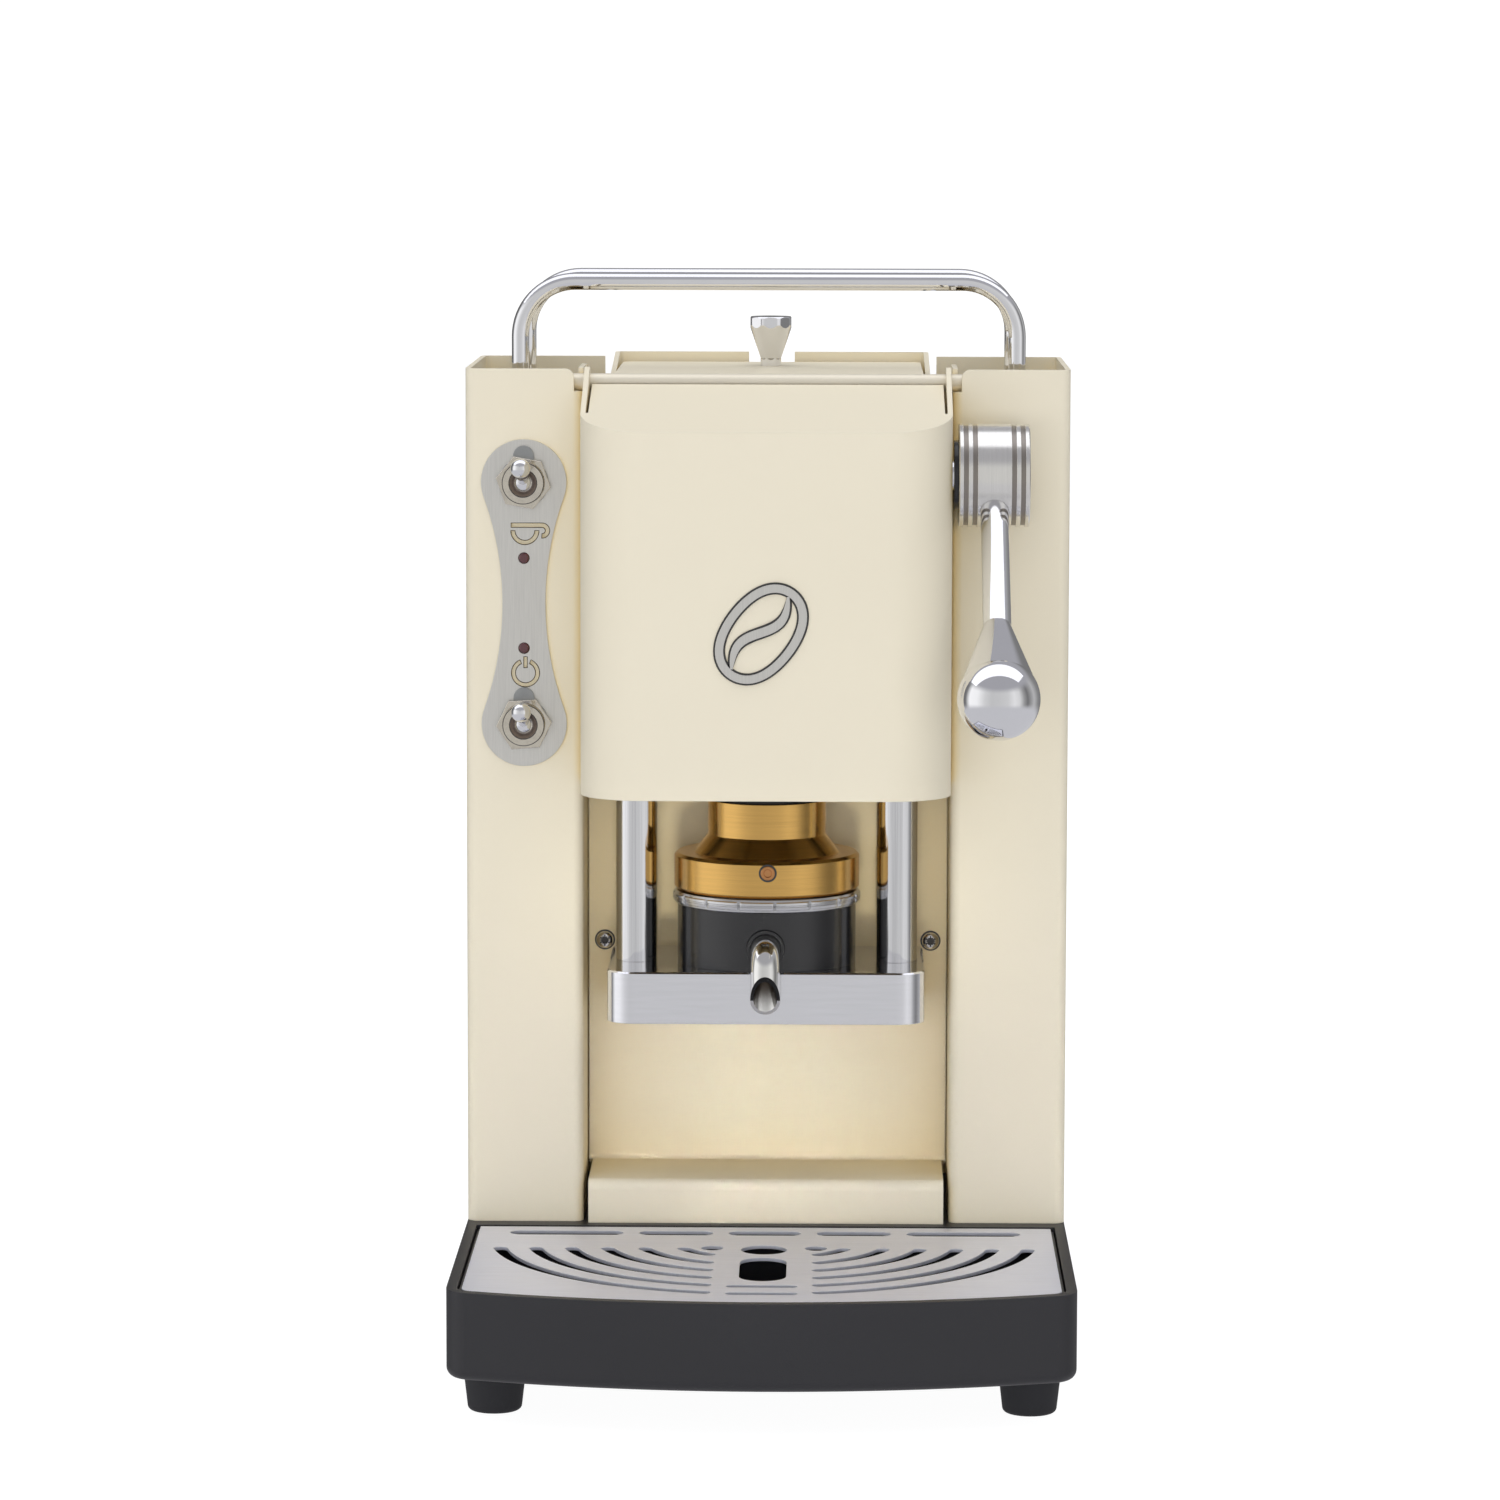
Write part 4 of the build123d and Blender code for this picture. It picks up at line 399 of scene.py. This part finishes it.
BY_SLOT = {
    "cream_paint": CREAM,
    "black_base": BASE_BLACK,
    "foot_rubber": RUBBER,
    "brushed_steel": CARRIER_STEEL,
    "chrome": CHROME,
    "nickel": NICKEL,
    "piston_brass": BRASS,
    "black_resin": RESIN,
    "seal_silver": SEAL,
    "tank_plastic": TANK,
    "hose_silicone": HOSE,
    "cast_alloy": CAST,
    "pump_plastic": PUMP_BLACK,
    "lamp_red": LAMP,
}
BY_NODE = {
    "drip_plate": PLATE_STEEL,
    "tank_shelf": PLATE_STEEL,
    "lever_hub": HUB_STEEL,
    "post_left": POST_CHROME,
    "post_right": POST_CHROME,
    "group_plate": GROUP_CHROME,
    "spout_tube": SPOUT,
    "guide_bushes": BRONZE,
    "shaft_bushes": BRONZE,
    "switch_washers": WASHER_GREY,
    "hinge_rod": SATIN_ROD,
}
for part in frame["record"]["subparts"]:
    node = frame["nodes"][part["node"]]
    node.data.materials.clear()
    node.data.materials.append(BY_NODE.get(part["node"], BY_SLOT[part["material_slot"]]))


# Making of pieces
def finish_piece(shape, name, material, body, smooth_angle=35):
    """A new object from a bmesh or a mesh, smooth but for its sharp edges, riding on its CAD body."""
    if isinstance(shape, bmesh.types.BMesh):
        bmesh.ops.recalc_face_normals(shape, faces=shape.faces)
        mesh = bpy.data.meshes.new(name)
        shape.to_mesh(mesh)
        shape.free()
    else:
        mesh = shape
    mesh.shade_smooth()
    mesh.set_sharp_from_angle(angle=math.radians(smooth_angle))
    mesh.materials.clear()
    mesh.materials.append(material)
    piece = bpy.data.objects.new(name, mesh)
    bpy.context.scene.collection.objects.link(piece)
    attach(piece, body)
    return piece


def join_rings(bm, rings):
    """Faces between each ring of points and the next."""
    for low, high in rings:
        for step, (a, b) in enumerate(zip(low, high)):
            after = (step + 1) % len(low)
            bm.faces.new((a, low[after], high[after], b))


def turned(bm, profile, origin, axis, steps=64, closed=True):
    """Adds the profile, pairs of (along, radius) in millimetres, turned about an axis through origin."""
    axis = Vector(axis).normalized()
    side = axis.orthogonal().normalized()
    other = axis.cross(side)
    rings = []
    for along, radius in profile:
        centre = Vector(origin) + axis * along * MM
        ring = []
        for step in range(steps):
            angle = FULL_TURN * step / steps
            way = side * math.cos(angle) + other * math.sin(angle)
            ring.append(bm.verts.new(centre + way * radius * MM))
        rings.append(ring)
    pairs = list(zip(rings, rings[1:]))
    if closed:
        pairs.append((rings[-1], rings[0]))
    join_rings(bm, pairs)
    return rings


def arc(x, z, radius, start, end, steps):
    """Points (x, z) along an arc, from angle start to end in degrees."""
    angles = [math.radians(start + (end - start) * step / steps) for step in range(steps + 1)]
    return [(x + radius * math.cos(angle), z + radius * math.sin(angle)) for angle in angles]


def circle(x, z, radius, steps=48):
    return arc(x, z, radius, 0, 360, steps)[:-1]


def ring_slot(x, z, inner, outer, start, end, steps=24):
    """A slot along a ring, from angle start to end in degrees, with square ends."""
    return arc(x, z, outer, start, end, steps) + arc(x, z, inner, start, end, steps)[::-1]


def add_closed_line(curve, points):
    spline = curve.splines.new("POLY")
    spline.points.add(len(points) - 1)
    for point, place in zip(spline.points, points):
        point.co = (*place, 1)
    spline.use_cyclic_u = True


def mesh_from_curve(curve):
    holder = bpy.data.objects.new(curve.name, curve)
    mesh = bpy.data.meshes.new_from_object(holder)
    bpy.data.objects.remove(holder)
    bpy.data.curves.remove(curve)
    return mesh


def cut_sheet(name, outlines, back_y, thickness):
    """A flat sheet that faces the user, from closed outlines of (x, z) in millimetres: the first is its edge
    and the rest are cut through it."""
    curve = bpy.data.curves.new(name, "CURVE")
    curve.dimensions = "2D"
    curve.fill_mode = "BOTH"
    curve.extrude = thickness * MM / 2
    for outline in outlines:
        add_closed_line(curve, [(x * MM, z * MM, 0) for x, z in outline])
    mesh = mesh_from_curve(curve)
    upright = Matrix.Rotation(math.pi / 2, 4, "X")
    mesh.transform(Matrix.Translation((0, back_y - thickness * MM / 2, 0)) @ upright)
    return mesh


# Switch plate with its cup sign and power sign cut through
def switch_plate_outline():
    """Two round lobes over the switches, joined by hollow sides."""
    lobe, waist, run = 12.41, 6.256, SWITCH_STEP / MM
    hollow = (run**2 + waist**2 - lobe**2) / (2 * (lobe - waist))
    centre = waist + hollow
    share = lobe / (lobe + hollow)
    touch_x, touch_z = share * centre, run - share * run
    lobe_angle = math.degrees(math.atan2(touch_z - run, touch_x))
    hollow_angle = math.degrees(math.atan2(touch_z, touch_x - centre))
    half = arc(0, run, lobe, 180 - lobe_angle, lobe_angle, 32)
    half += arc(centre, 0, hollow, hollow_angle, 360 - hollow_angle, 24)[1:-1]
    middle_x, middle_z = SWITCH_X / MM, SWITCH_MID_Z / MM
    return [(middle_x + side * x, middle_z + side * z) for side in (1, -1) for x, z in half]


def cup_sign(x, z):
    """A cup seen from the side: a half round bowl, and a bar that hooks down into the handle."""
    bowl = ring_slot(x + 0.3, z, 2.85, 4.1, 180, 360)
    handle_x, inner, outer = x + 5.3, 0.9, 2.2
    bar_start = x - 3.7
    handle = [(bar_start, z + outer), (bar_start, z + inner)]
    handle += arc(handle_x, z, inner, 90, -94, 20)
    handle += arc(handle_x, z, outer, 90, -94, 20)[::-1]
    return bowl, handle


def power_sign(x, z):
    """An open ring with a stroke in its gap."""
    gap = 22.7
    ring = ring_slot(x + 0.4, z, 2.9, 4.1, 90 + gap, 450 - gap, 40)
    left, right, foot, top = x - 0.15, x + 0.95, z + 1.5, z + 4.7
    return ring, [(left, foot), (right, foot), (right, top), (left, top)]


def sign_shade_line(name, outline):
    """A thin dark line of painted shade round a sign."""
    curve = bpy.data.curves.new(name, "CURVE")
    curve.dimensions = "3D"
    curve.bevel_depth = 0.12 * MM
    curve.bevel_resolution = 1
    add_closed_line(curve, [(x * MM, PLATE_LOW.y, z * MM) for x, z in outline])
    finish_piece(mesh_from_curve(curve), name, SIGN_SHADE_BROWN, "root")


def switch_plate():
    bushing_hole, lamp_hole, thickness = 6.05, 1.65, 1.0
    cup_z, power_z = 241.2, 199.8
    x, middle_z, step = SWITCH_X / MM, SWITCH_MID_Z / MM, SWITCH_STEP / MM
    holes = [circle(x, z, bushing_hole) for z in (middle_z + step, middle_z - step)]
    holes += [circle(x, z / MM, lamp_hole, 32) for z in LAMP_Z]
    signs = [*cup_sign(x, cup_z), *power_sign(x, power_z)]
    sheet = cut_sheet("switch_face", [switch_plate_outline(), *holes, *signs], PLATE_HIGH.y, thickness)
    piece = finish_piece(sheet, "switch_face", UPRIGHT_STEEL, "root")
    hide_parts("switch_plate")
    # Painted shade: a dark line round each sign cut through the plate
    for name, outline in zip(("cup_bowl", "cup_handle", "power_ring", "power_stroke"), signs):
        sign_shade_line(f"edge_{name}", outline)


switch_plate()


# Threads on the switch bushings, the bore inside each in a brown of painted shade, and dark rings of painted
# shade round both
def switch_ring(name, z, front, profile, material, smooth_angle):
    bm = bmesh.new()
    turned(bm, profile, (SWITCH_X, front, z), (0, 1, 0), 48)
    finish_piece(bm, name, material, "root", smooth_angle)


def switch_details(label, z):
    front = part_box(f"switch_{label}")[0].y
    inside, root, crest = 5.55, 5.82, 6.06
    lead_in, pitch, turns = 0.12, 0.75, 3
    thread = [(0.0, inside), (lead_in, 5.98)]
    for turn in range(turns):
        start = lead_in + turn * pitch
        thread += [(start + 0.25, crest), (start + 0.5, crest), (start + 0.65, root), (start + pitch, root)]
    thread += [(2.45, inside)]
    mouth, floor = 4.04, 2.95
    throat = [(1.1, mouth), (1.25, 3.75), (2.6, floor), (3.4, floor), (3.4, mouth)]
    thread_shade_line = [(0.1, 5.84), (-0.03, 5.88), (-0.03, crest), (0.3, 6.1), (0.3, 5.84)]
    throat_shade_line = [(0.1, 3.9), (-0.03, 3.95), (-0.03, 4.12), (0.1, 4.16)]
    switch_ring(f"bushing_thread_{label}", z, front, thread, NICKEL, 20)
    switch_ring(f"switch_throat_shade_{label}", z, front, throat, THROAT_SHADE, 30)
    # Painted shade: dark rings in the gap round the thread and at the mouth of the bore
    switch_ring(f"thread_shade_line_{label}", z, front, thread_shade_line, DARK_STEEL_AND_SHADE, 30)
    switch_ring(f"throat_shade_line_{label}", z, front, throat_shade_line, DARK_STEEL_AND_SHADE, 30)


switch_details("brew", SWITCH_MID_Z + SWITCH_STEP)
switch_details("power", SWITCH_MID_Z - SWITCH_STEP)


# Emblem on the hood: a plain coffee bean, cut from steel, with a dark backing that shows as an outline
BEAN_X, BEAN_Z = -1.2, 215.5
BEAN_TILT = math.radians(-38)
BEAN_WIDTH, BEAN_HEIGHT, BEAN_BAND = 21, 31, 2.3


def on_hood(points):
    """Points round the middle of the bean, tilted and set on the hood."""
    across, up = math.cos(BEAN_TILT), math.sin(BEAN_TILT)
    return [(x * across - z * up + BEAN_X, x * up + z * across + BEAN_Z) for x, z in points]


def bean_outline(inset, grow=0.0, steps=72):
    """An oval that is a little fuller at its sides."""
    width, height = BEAN_WIDTH - 2 * inset, BEAN_HEIGHT - 2 * inset
    points = []
    for step in range(steps):
        angle = FULL_TURN * step / steps
        fuller = 0.06 * width * math.sin(angle) ** 2 * math.cos(angle)
        points.append(((width / 2 + grow) * math.cos(angle) + fuller, (height / 2 + grow) * math.sin(angle)))
    return on_hood(points)


def bean_crease(height, half_width, steps=32):
    """The S-shaped crease of the bean, as a closed narrow outline that tapers to both ends."""
    shares = [-1 + 2 * step / steps for step in range(steps + 1)]
    centre = [
        (0.13 * BEAN_WIDTH * math.sin(math.pi * share) - 0.02 * BEAN_WIDTH, share * height * 0.42)
        for share in shares
    ]
    left, right = [], []
    for i, (x, z) in enumerate(centre):
        before, after = centre[max(i - 1, 0)], centre[min(i + 1, steps)]
        way = Vector((after[0] - before[0], after[1] - before[1])).normalized()
        wide = half_width * (1 - 0.72 * abs(shares[i]) ** 3)
        left.append((x - way.y * wide, z + way.x * wide))
        right.append((x + way.y * wide, z - way.x * wide))
    return on_hood(left + right[::-1])


def emblem():
    steel_back, steel, backing = HOOD_FACE - 0.35 * MM, 0.6, 0.35
    outline = 0.55
    layers = (
        ("emblem_bean", [bean_outline(0), bean_outline(BEAN_BAND)], steel_back, steel, UPRIGHT_STEEL),
        ("emblem_crease", [bean_crease(BEAN_HEIGHT, 1.25)], steel_back, steel, UPRIGHT_STEEL),
        (
            "emblem_backing",
            [bean_outline(0, outline), bean_outline(BEAN_BAND, -outline)],
            HOOD_FACE, backing, DARK_STEEL_AND_SHADE,
        ),
        (
            "emblem_crease_backing",
            [bean_crease(BEAN_HEIGHT + 1.2, 1.25 + outline)],
            HOOD_FACE, backing, DARK_STEEL_AND_SHADE,
        ),
    )
    for name, outlines, back_y, thickness, material in layers:
        sheet = cut_sheet(name, outlines, back_y, thickness)
        finish_piece(sheet, name, material, "hood")


emblem()


# Seal ring as a grooved spring band, with a shallow tick between its segments
def seal_band():
    bore, foot_z = 22.5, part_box("seal_ring")[0].z
    profile = [
        (0.0, bore), (0.0, 26.3), (0.35, 26.75), (0.8, 26.8), (0.95, 27.25), (1.7, 27.4), (1.85, 27.1),
        (2.15, 27.1), (2.3, 27.4), (3.0, 27.35), (3.2, 26.9), (3.85, 26.6), (3.85, bore),
    ]
    steps, segment = 384, 24
    tick = ((5, 0.15), (6, 0.8), (7, 0.15))
    bm = bmesh.new()
    rings = turned(bm, profile, (0, GROUP_Y, foot_z), (0, 0, 1), steps)
    for ring in rings[4:-3]:
        for start in range(0, steps, segment):
            for beside, depth in tick:
                vertex = ring[start + beside]
                outward = Vector((vertex.co.x, vertex.co.y - GROUP_Y, 0)).normalized()
                vertex.co -= outward * depth * MM
    piece = finish_piece(bm, "seal_band", SEAL, "root", 25)
    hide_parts("seal_ring")


seal_band()


# Star-drive screws on the centre panel, with painted shade in their sockets and round their heads
def star_screws():
    low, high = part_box("panel_screws")
    middle_z = (low.z + high.z) / 2
    head = (high.z - low.z) / 2 / MM
    centres = [Vector((x, PANEL_FACE, middle_z)) for x in (low.x + head * MM, high.x - head * MM)]
    shank_end, seat, face, socket_floor = 1.5, 0.0, -1.5, -0.55
    shank, star, point, points, steps = head - 1.1, 1.08, 0.22, 6, 72
    profile = [
        (shank_end, shank, 0), (seat, shank, 0), (seat, head, 0), (-0.55, head, 0), (-1.15, head - 0.35, 0),
        (face, head - 0.95, 0), (face, star, point), (socket_floor, star, point),
    ]
    bm = bmesh.new()
    for centre in centres:
        rings = []
        for along, radius, wave in profile:
            ring = []
            for step in range(steps):
                angle = FULL_TURN * step / steps
                reach = (radius + wave * math.cos(points * angle)) * MM
                place = Vector((reach * math.cos(angle), along * MM, reach * math.sin(angle)))
                ring.append(bm.verts.new(centre + place))
            rings.append(ring)
        join_rings(bm, zip(rings, rings[1:]))
        bm.faces.new(rings[0])
        bm.faces.new(rings[-1])
    piece = finish_piece(bm, "star_screws", CHROME, "root")
    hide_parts("panel_screws")
    # Painted shade: the faces of the star socket take the dark material
    piece.data.materials.append(DARK_STEEL_AND_SHADE)
    for side in piece.data.polygons:
        in_front = side.center.y < PANEL_FACE
        apart = min((side.center - centre).xz.length for centre in centres)
        if in_front and apart < (star + point + 0.03) * MM:
            side.material_index = 1
    # Painted shade: a dark ring round each head
    ring_profile = [(0.1, head - 0.3), (-0.12, head - 0.3), (-0.12, head + 0.4), (0.1, head + 0.45)]
    bm = bmesh.new()
    for centre in centres:
        turned(bm, ring_profile, centre, (0, 1, 0), 48)
    finish_piece(bm, "screw_shade_rings", DARK_STEEL_AND_SHADE, "root")


star_screws()


# Small screw in the front of the piston's band, in a dark rim of painted shade
def band_screw():
    centre = Vector((0.6 * MM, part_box("piston")[0].y, 144.1 * MM))
    back = 0.6
    head = [
        (back, ON_AXIS), (back, 2.05), (-0.22, 2.05), (-0.34, 1.9), (-0.38, 1.2), (-0.05, 1.05),
        (-0.05, ON_AXIS),
    ]
    rim = [(back, 2.0), (back, 2.6), (-0.05, 2.6), (-0.12, 2.5), (-0.12, 2.0)]
    for name, profile, material in (("band_screw_shade_rim", rim, DARK_STEEL_AND_SHADE), ("band_screw", head, COPPER)):
        bm = bmesh.new()
        turned(bm, profile, centre, (0, 1, 0), 48)
        bmesh.ops.remove_doubles(bm, verts=bm.verts, dist=0.001 * MM)
        finish_piece(bm, name, material, "piston")


band_screw()


# Rod and knob of the lever: the cone leaves the rod at a crease and ends just inside the ball
def lever_drop():
    low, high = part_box("lever_knob")
    ball_radius, rod_radius, cone_radius = 11.5, 4.0, 4.1
    rod_start, rod_middle, rod_end, cone_start, seam = 7.0, 34.0, 61.3, 61.6, 84.2
    cone_steps, ball_steps = 12, 40
    ball = Vector(((low.x + high.x) / 2, low.y + ball_radius * MM, low.z + ball_radius * MM))
    pivot = Vector((ball.x, LEVER_AXIS_Y, LEVER_AXIS_Z))
    middle = (ball - pivot).length / MM
    seam_radius = math.sqrt(ball_radius**2 - (middle - seam) ** 2)
    profile = [(rod_start, ON_AXIS)]
    profile += [(along, rod_radius) for along in (rod_start, rod_middle, rod_end)]
    for step in range(cone_steps + 1):
        share = step / cone_steps
        profile.append((
            cone_start + (seam - cone_start) * share,
            cone_radius + (seam_radius - cone_radius) * share,
        ))
    start = math.acos((middle - seam) / ball_radius)
    for step in range(1, ball_steps + 1):
        angle = start + (math.pi - start) * step / ball_steps
        radius = max(ON_AXIS, ball_radius * math.sin(angle))
        profile.append((middle - ball_radius * math.cos(angle), radius))
    bm = bmesh.new()
    turned(bm, profile, pivot, ball - pivot, 96, closed=False)
    bmesh.ops.remove_doubles(bm, verts=bm.verts, dist=0.001 * MM)
    piece = finish_piece(bm, "lever_drop", CHROME, "lever", 6)
    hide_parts("lever_rod", "lever_knob")


lever_drop()


# Floors of the turned grooves in the hub, in a dull grey-brown of painted shade and reflection
def hub_groove_shade():
    low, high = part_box("lever_hub")
    groove_depth, groove, end_ridge, ridge = 0.6, 1.35, 1.3, 1.25
    floor = (high.z - low.z) / 2 / MM - groove_depth
    under, over = floor - 0.2, floor + 0.06
    bm = bmesh.new()
    for end, way in ((low.x, 1), (high.x, -1)):
        for start in (end_ridge, end_ridge + groove + ridge):
            profile = [(start, under), (start, over), (start + groove, over), (start + groove, under)]
            turned(bm, profile, (end, LEVER_AXIS_Y, LEVER_AXIS_Z), (way, 0, 0), 96)
    finish_piece(bm, "hub_groove_shade", GROOVE_SHADE_GREY, "lever")


hub_groove_shade()


# Camera
def set_camera():
    """A long lens from a little above the machine, just right of its middle, fitted to the photograph."""
    pitch, yaw, roll = math.radians(6.48), math.radians(0.825), math.radians(0.12)
    data = bpy.data.cameras.new("camera")
    data.lens = 142.5
    data.sensor_width = 36.0
    data.clip_start = 0.05
    data.clip_end = 60.0
    camera = bpy.data.objects.new("camera", data)
    bpy.context.scene.collection.objects.link(camera)
    camera.location = (0.0198, -1.7125, 0.3722)
    way = Vector((-math.sin(yaw) * math.cos(pitch), math.cos(yaw) * math.cos(pitch), -math.sin(pitch)))
    level = way.to_track_quat("-Z", "Y")
    camera.rotation_mode = "QUATERNION"
    camera.rotation_quaternion = level @ Matrix.Rotation(roll, 4, "Z").to_quaternion()
    bpy.context.scene.camera = camera


set_camera()


# Floor
def set_floor():
    """A wide sheet of white paper, which glows to the camera alone so that it stays white."""
    reach = 6.0
    paper_glow, glow_share = 1.2, 0.8
    corners = ((-reach, -reach), (reach, -reach), (reach, reach), (-reach, reach))
    bm = bmesh.new()
    bm.faces.new([bm.verts.new((x, y, 0)) for x, y in corners])
    mesh = bpy.data.meshes.new("floor")
    bm.to_mesh(mesh)
    bm.free()
    floor = bpy.data.objects.new("floor", mesh)
    bpy.context.scene.collection.objects.link(floor)
    paper = Finish("white paper", (0.93, 0.93, 0.93), roughness=0.85)
    glow = add_node(paper.tree, "ShaderNodeEmission", {"Strength": paper_glow})
    path = add_node(paper.tree, "ShaderNodeLightPath")
    part = add_node(paper.tree, "ShaderNodeMath", {1: glow_share}, operation="MULTIPLY")
    mixed = add_node(paper.tree, "ShaderNodeMixShader")
    paper.link(path.outputs["Is Camera Ray"], part.inputs[0])
    paper.link(part.outputs["Value"], mixed.inputs["Fac"])
    paper.link(paper.shader.outputs["BSDF"], mixed.inputs[1])
    paper.link(glow.outputs["Emission"], mixed.inputs[2])
    paper.link(mixed.outputs["Shader"], paper.tree.nodes["Material Output"].inputs["Surface"])
    mesh.materials.append(paper.material)
    floor.visible_glossy = False


set_floor()


# The room round the machine: white to the camera, soft light to paint, and strips to polished metal
BACKDROP_STRENGTH = 1.1
SOFT_COLOUR = (0.975, 1.0, 1.09)
SOFT_ALL_ROUND, SOFT_FRONT, SOFT_ABOVE = 0.24, 0.7, 0.10
FRONT_WAY, FRONT_FOCUS = (-0.14, -0.975, 0.17), 8.0

# Greys that metal sees round about, as pairs of (share of a turn, grey): behind is 0 and 1, the front is 0.5
ROOM_ROUND = (
    (0.0, 0.15), (0.14, 0.14), (0.205, 0.22), (0.25, 1.15), (0.32, 1.10), (0.385, 0.78), (0.44, 0.66),
    (0.50, 0.68), (0.57, 0.74), (0.62, 0.92), (0.665, 0.80), (0.705, 0.38), (0.74, 0.20), (0.815, 0.55),
    (0.88, 0.28), (1.0, 0.15),
)

# What metal sees below and above instead, as the height where it starts, where it is whole, and its colour
ROOM_ENDS = ((-0.14, -0.36, (0.64, 0.64, 0.67)), (0.34, 0.62, (0.44, 0.44, 0.47)))


def grey_ramp(tree, stops):
    """A ramp of greys, from pairs of (place, value)."""
    node = add_node(tree, "ShaderNodeValToRGB")
    elements = node.color_ramp.elements
    for place, value in stops:
        if place in (0.0, 1.0):
            stop = elements[-1 if place else 0]
        else:
            stop = elements.new(place)
        stop.color = (value, value, value, 1)
    return node


def reckon(tree, operation, *terms):
    """A sum on sockets and plain numbers, and its result's socket."""
    node = add_node(tree, "ShaderNodeMath", operation=operation)
    for socket, term in zip(node.inputs, terms):
        if isinstance(term, (int, float)):
            socket.default_value = term
        else:
            tree.links.new(term, socket)
    return node.outputs["Value"]


def paint_room(tree, way, up):
    """Even light from all round, with more from the front and a little more from above."""
    ahead = add_node(tree, "ShaderNodeVectorMath", {1: FRONT_WAY}, operation="DOT_PRODUCT")
    tree.links.new(way, ahead.inputs[0])
    facing = reckon(tree, "MAXIMUM", ahead.outputs["Value"], 0.0)
    front = reckon(tree, "POWER", facing, FRONT_FOCUS)
    level = reckon(tree, "MULTIPLY_ADD", front, SOFT_FRONT, SOFT_ALL_ROUND)
    above = reckon(tree, "MULTIPLY", reckon(tree, "MAXIMUM", up, 0.0), SOFT_ABOVE)
    room = add_node(tree, "ShaderNodeBackground", {"Color": (*SOFT_COLOUR, 1)})
    tree.links.new(reckon(tree, "ADD", level, above), room.inputs["Strength"])
    return room


def metal_room(tree, split):
    """Light and dark strips round about, with one grey below and another above."""
    toward = reckon(tree, "MULTIPLY", split.outputs["Y"], -1.0)
    turn = reckon(tree, "ARCTAN2", split.outputs["X"], toward)
    around = reckon(tree, "MULTIPLY_ADD", turn, 1 / FULL_TURN, 0.5)
    strips = grey_ramp(tree, ROOM_ROUND)
    tree.links.new(around, strips.inputs["Fac"])
    seen = strips.outputs["Color"]
    for start, whole, colour in ROOM_ENDS:
        share = add_node(tree, "ShaderNodeMapRange", interpolation_type="SMOOTHSTEP")
        share.inputs["From Min"].default_value = start
        share.inputs["From Max"].default_value = whole
        mixed = add_node(tree, "ShaderNodeMix", data_type="RGBA")
        mixed.inputs[MIX_OVER].default_value = (*colour, 1)
        tree.links.new(split.outputs["Z"], share.inputs["Value"])
        tree.links.new(share.outputs["Result"], mixed.inputs["Factor"])
        tree.links.new(seen, mixed.inputs[MIX_UNDER])
        seen = mixed.outputs[MIX_OUT]
    room = add_node(tree, "ShaderNodeBackground")
    tree.links.new(seen, room.inputs["Color"])
    return room


def set_world():
    world = bpy.data.worlds.new("studio")
    bpy.context.scene.world = world
    world.use_nodes = True
    tree = world.node_tree
    link = tree.links.new
    backdrop = tree.nodes["Background"]
    backdrop.inputs["Color"].default_value = (1, 1, 1, 1)
    backdrop.inputs["Strength"].default_value = BACKDROP_STRENGTH
    way = add_node(tree, "ShaderNodeTexCoord").outputs["Generated"]
    split = add_node(tree, "ShaderNodeSeparateXYZ")
    link(way, split.inputs["Vector"])
    path = add_node(tree, "ShaderNodeLightPath")
    lit = add_node(tree, "ShaderNodeMixShader")
    seen = add_node(tree, "ShaderNodeMixShader")
    link(path.outputs["Is Glossy Ray"], lit.inputs["Fac"])
    link(paint_room(tree, way, split.outputs["Z"]).outputs["Background"], lit.inputs[1])
    link(metal_room(tree, split).outputs["Background"], lit.inputs[2])
    link(path.outputs["Is Camera Ray"], seen.inputs["Fac"])
    link(lit.outputs["Shader"], seen.inputs[1])
    link(backdrop.outputs["Background"], seen.inputs[2])
    link(seen.outputs["Shader"], tree.nodes["World Output"].inputs["Surface"])


set_world()


# Lights
def add_light(name, place, aim, size, power, colour, glossy=False, spread=180):
    """A soft box of that width and height; spread is the whole angle of its beam in degrees."""
    data = bpy.data.lights.new(name, "AREA")
    data.shape = "RECTANGLE"
    data.size, data.size_y = size
    data.energy = power
    data.color = colour
    data.spread = math.radians(spread)
    lamp = bpy.data.objects.new(name, data)
    bpy.context.scene.collection.objects.link(lamp)
    lamp.location = place
    lamp.rotation_euler = (Vector(aim) - Vector(place)).to_track_quat("-Z", "Y").to_euler()
    lamp.visible_camera = False
    lamp.visible_glossy = glossy


add_light(
    "top box", place=(-0.35, 0.10, 1.6), aim=(-0.35, 0.10, 0), size=(3.9, 1.18), power=13.5,
    colour=(0.985, 1.0, 1.05), glossy=True,
)
add_light(
    "top fill", place=(0, -0.60, 1.5), aim=(0, 0.02, 0.25), size=(1.6, 1.2), power=7.5,
    colour=(0.985, 1.0, 1.06),
)
add_light(
    "recess fill", place=(0, -0.34, 0.06), aim=(0, 0.036, 0.142), size=(0.10, 0.02), power=0.0072,
    colour=(1.0, 0.95, 0.82), spread=16,
)
add_light(
    "low fill", place=(0, -1.2, 0.09), aim=(0, 0, 0.085), size=(0.5, 0.03), power=0.014,
    colour=(1.0, 0.98, 0.92), spread=10,
)
add_light(
    "panel fill", place=(0, -1.2, 0.07), aim=(0, 0.036, 0.07), size=(0.03, 0.02), power=0.0038,
    colour=(1.0, 0.98, 0.93), spread=5,
)
add_light(
    "back fill", place=(0.2, 1.9, 0.6), aim=(0, 0, 0.15), size=(1.6, 0.8), power=7,
    colour=(0.985, 1.0, 1.05),
)
add_light(
    "front box", place=(-0.05, -1.8, 0.24), aim=(0, 0, 0.15), size=(1.6, 0.44), power=8.6,
    colour=(0.975, 1.0, 1.09),
)
bpy.context.scene.view_settings.view_transform = "Standard"
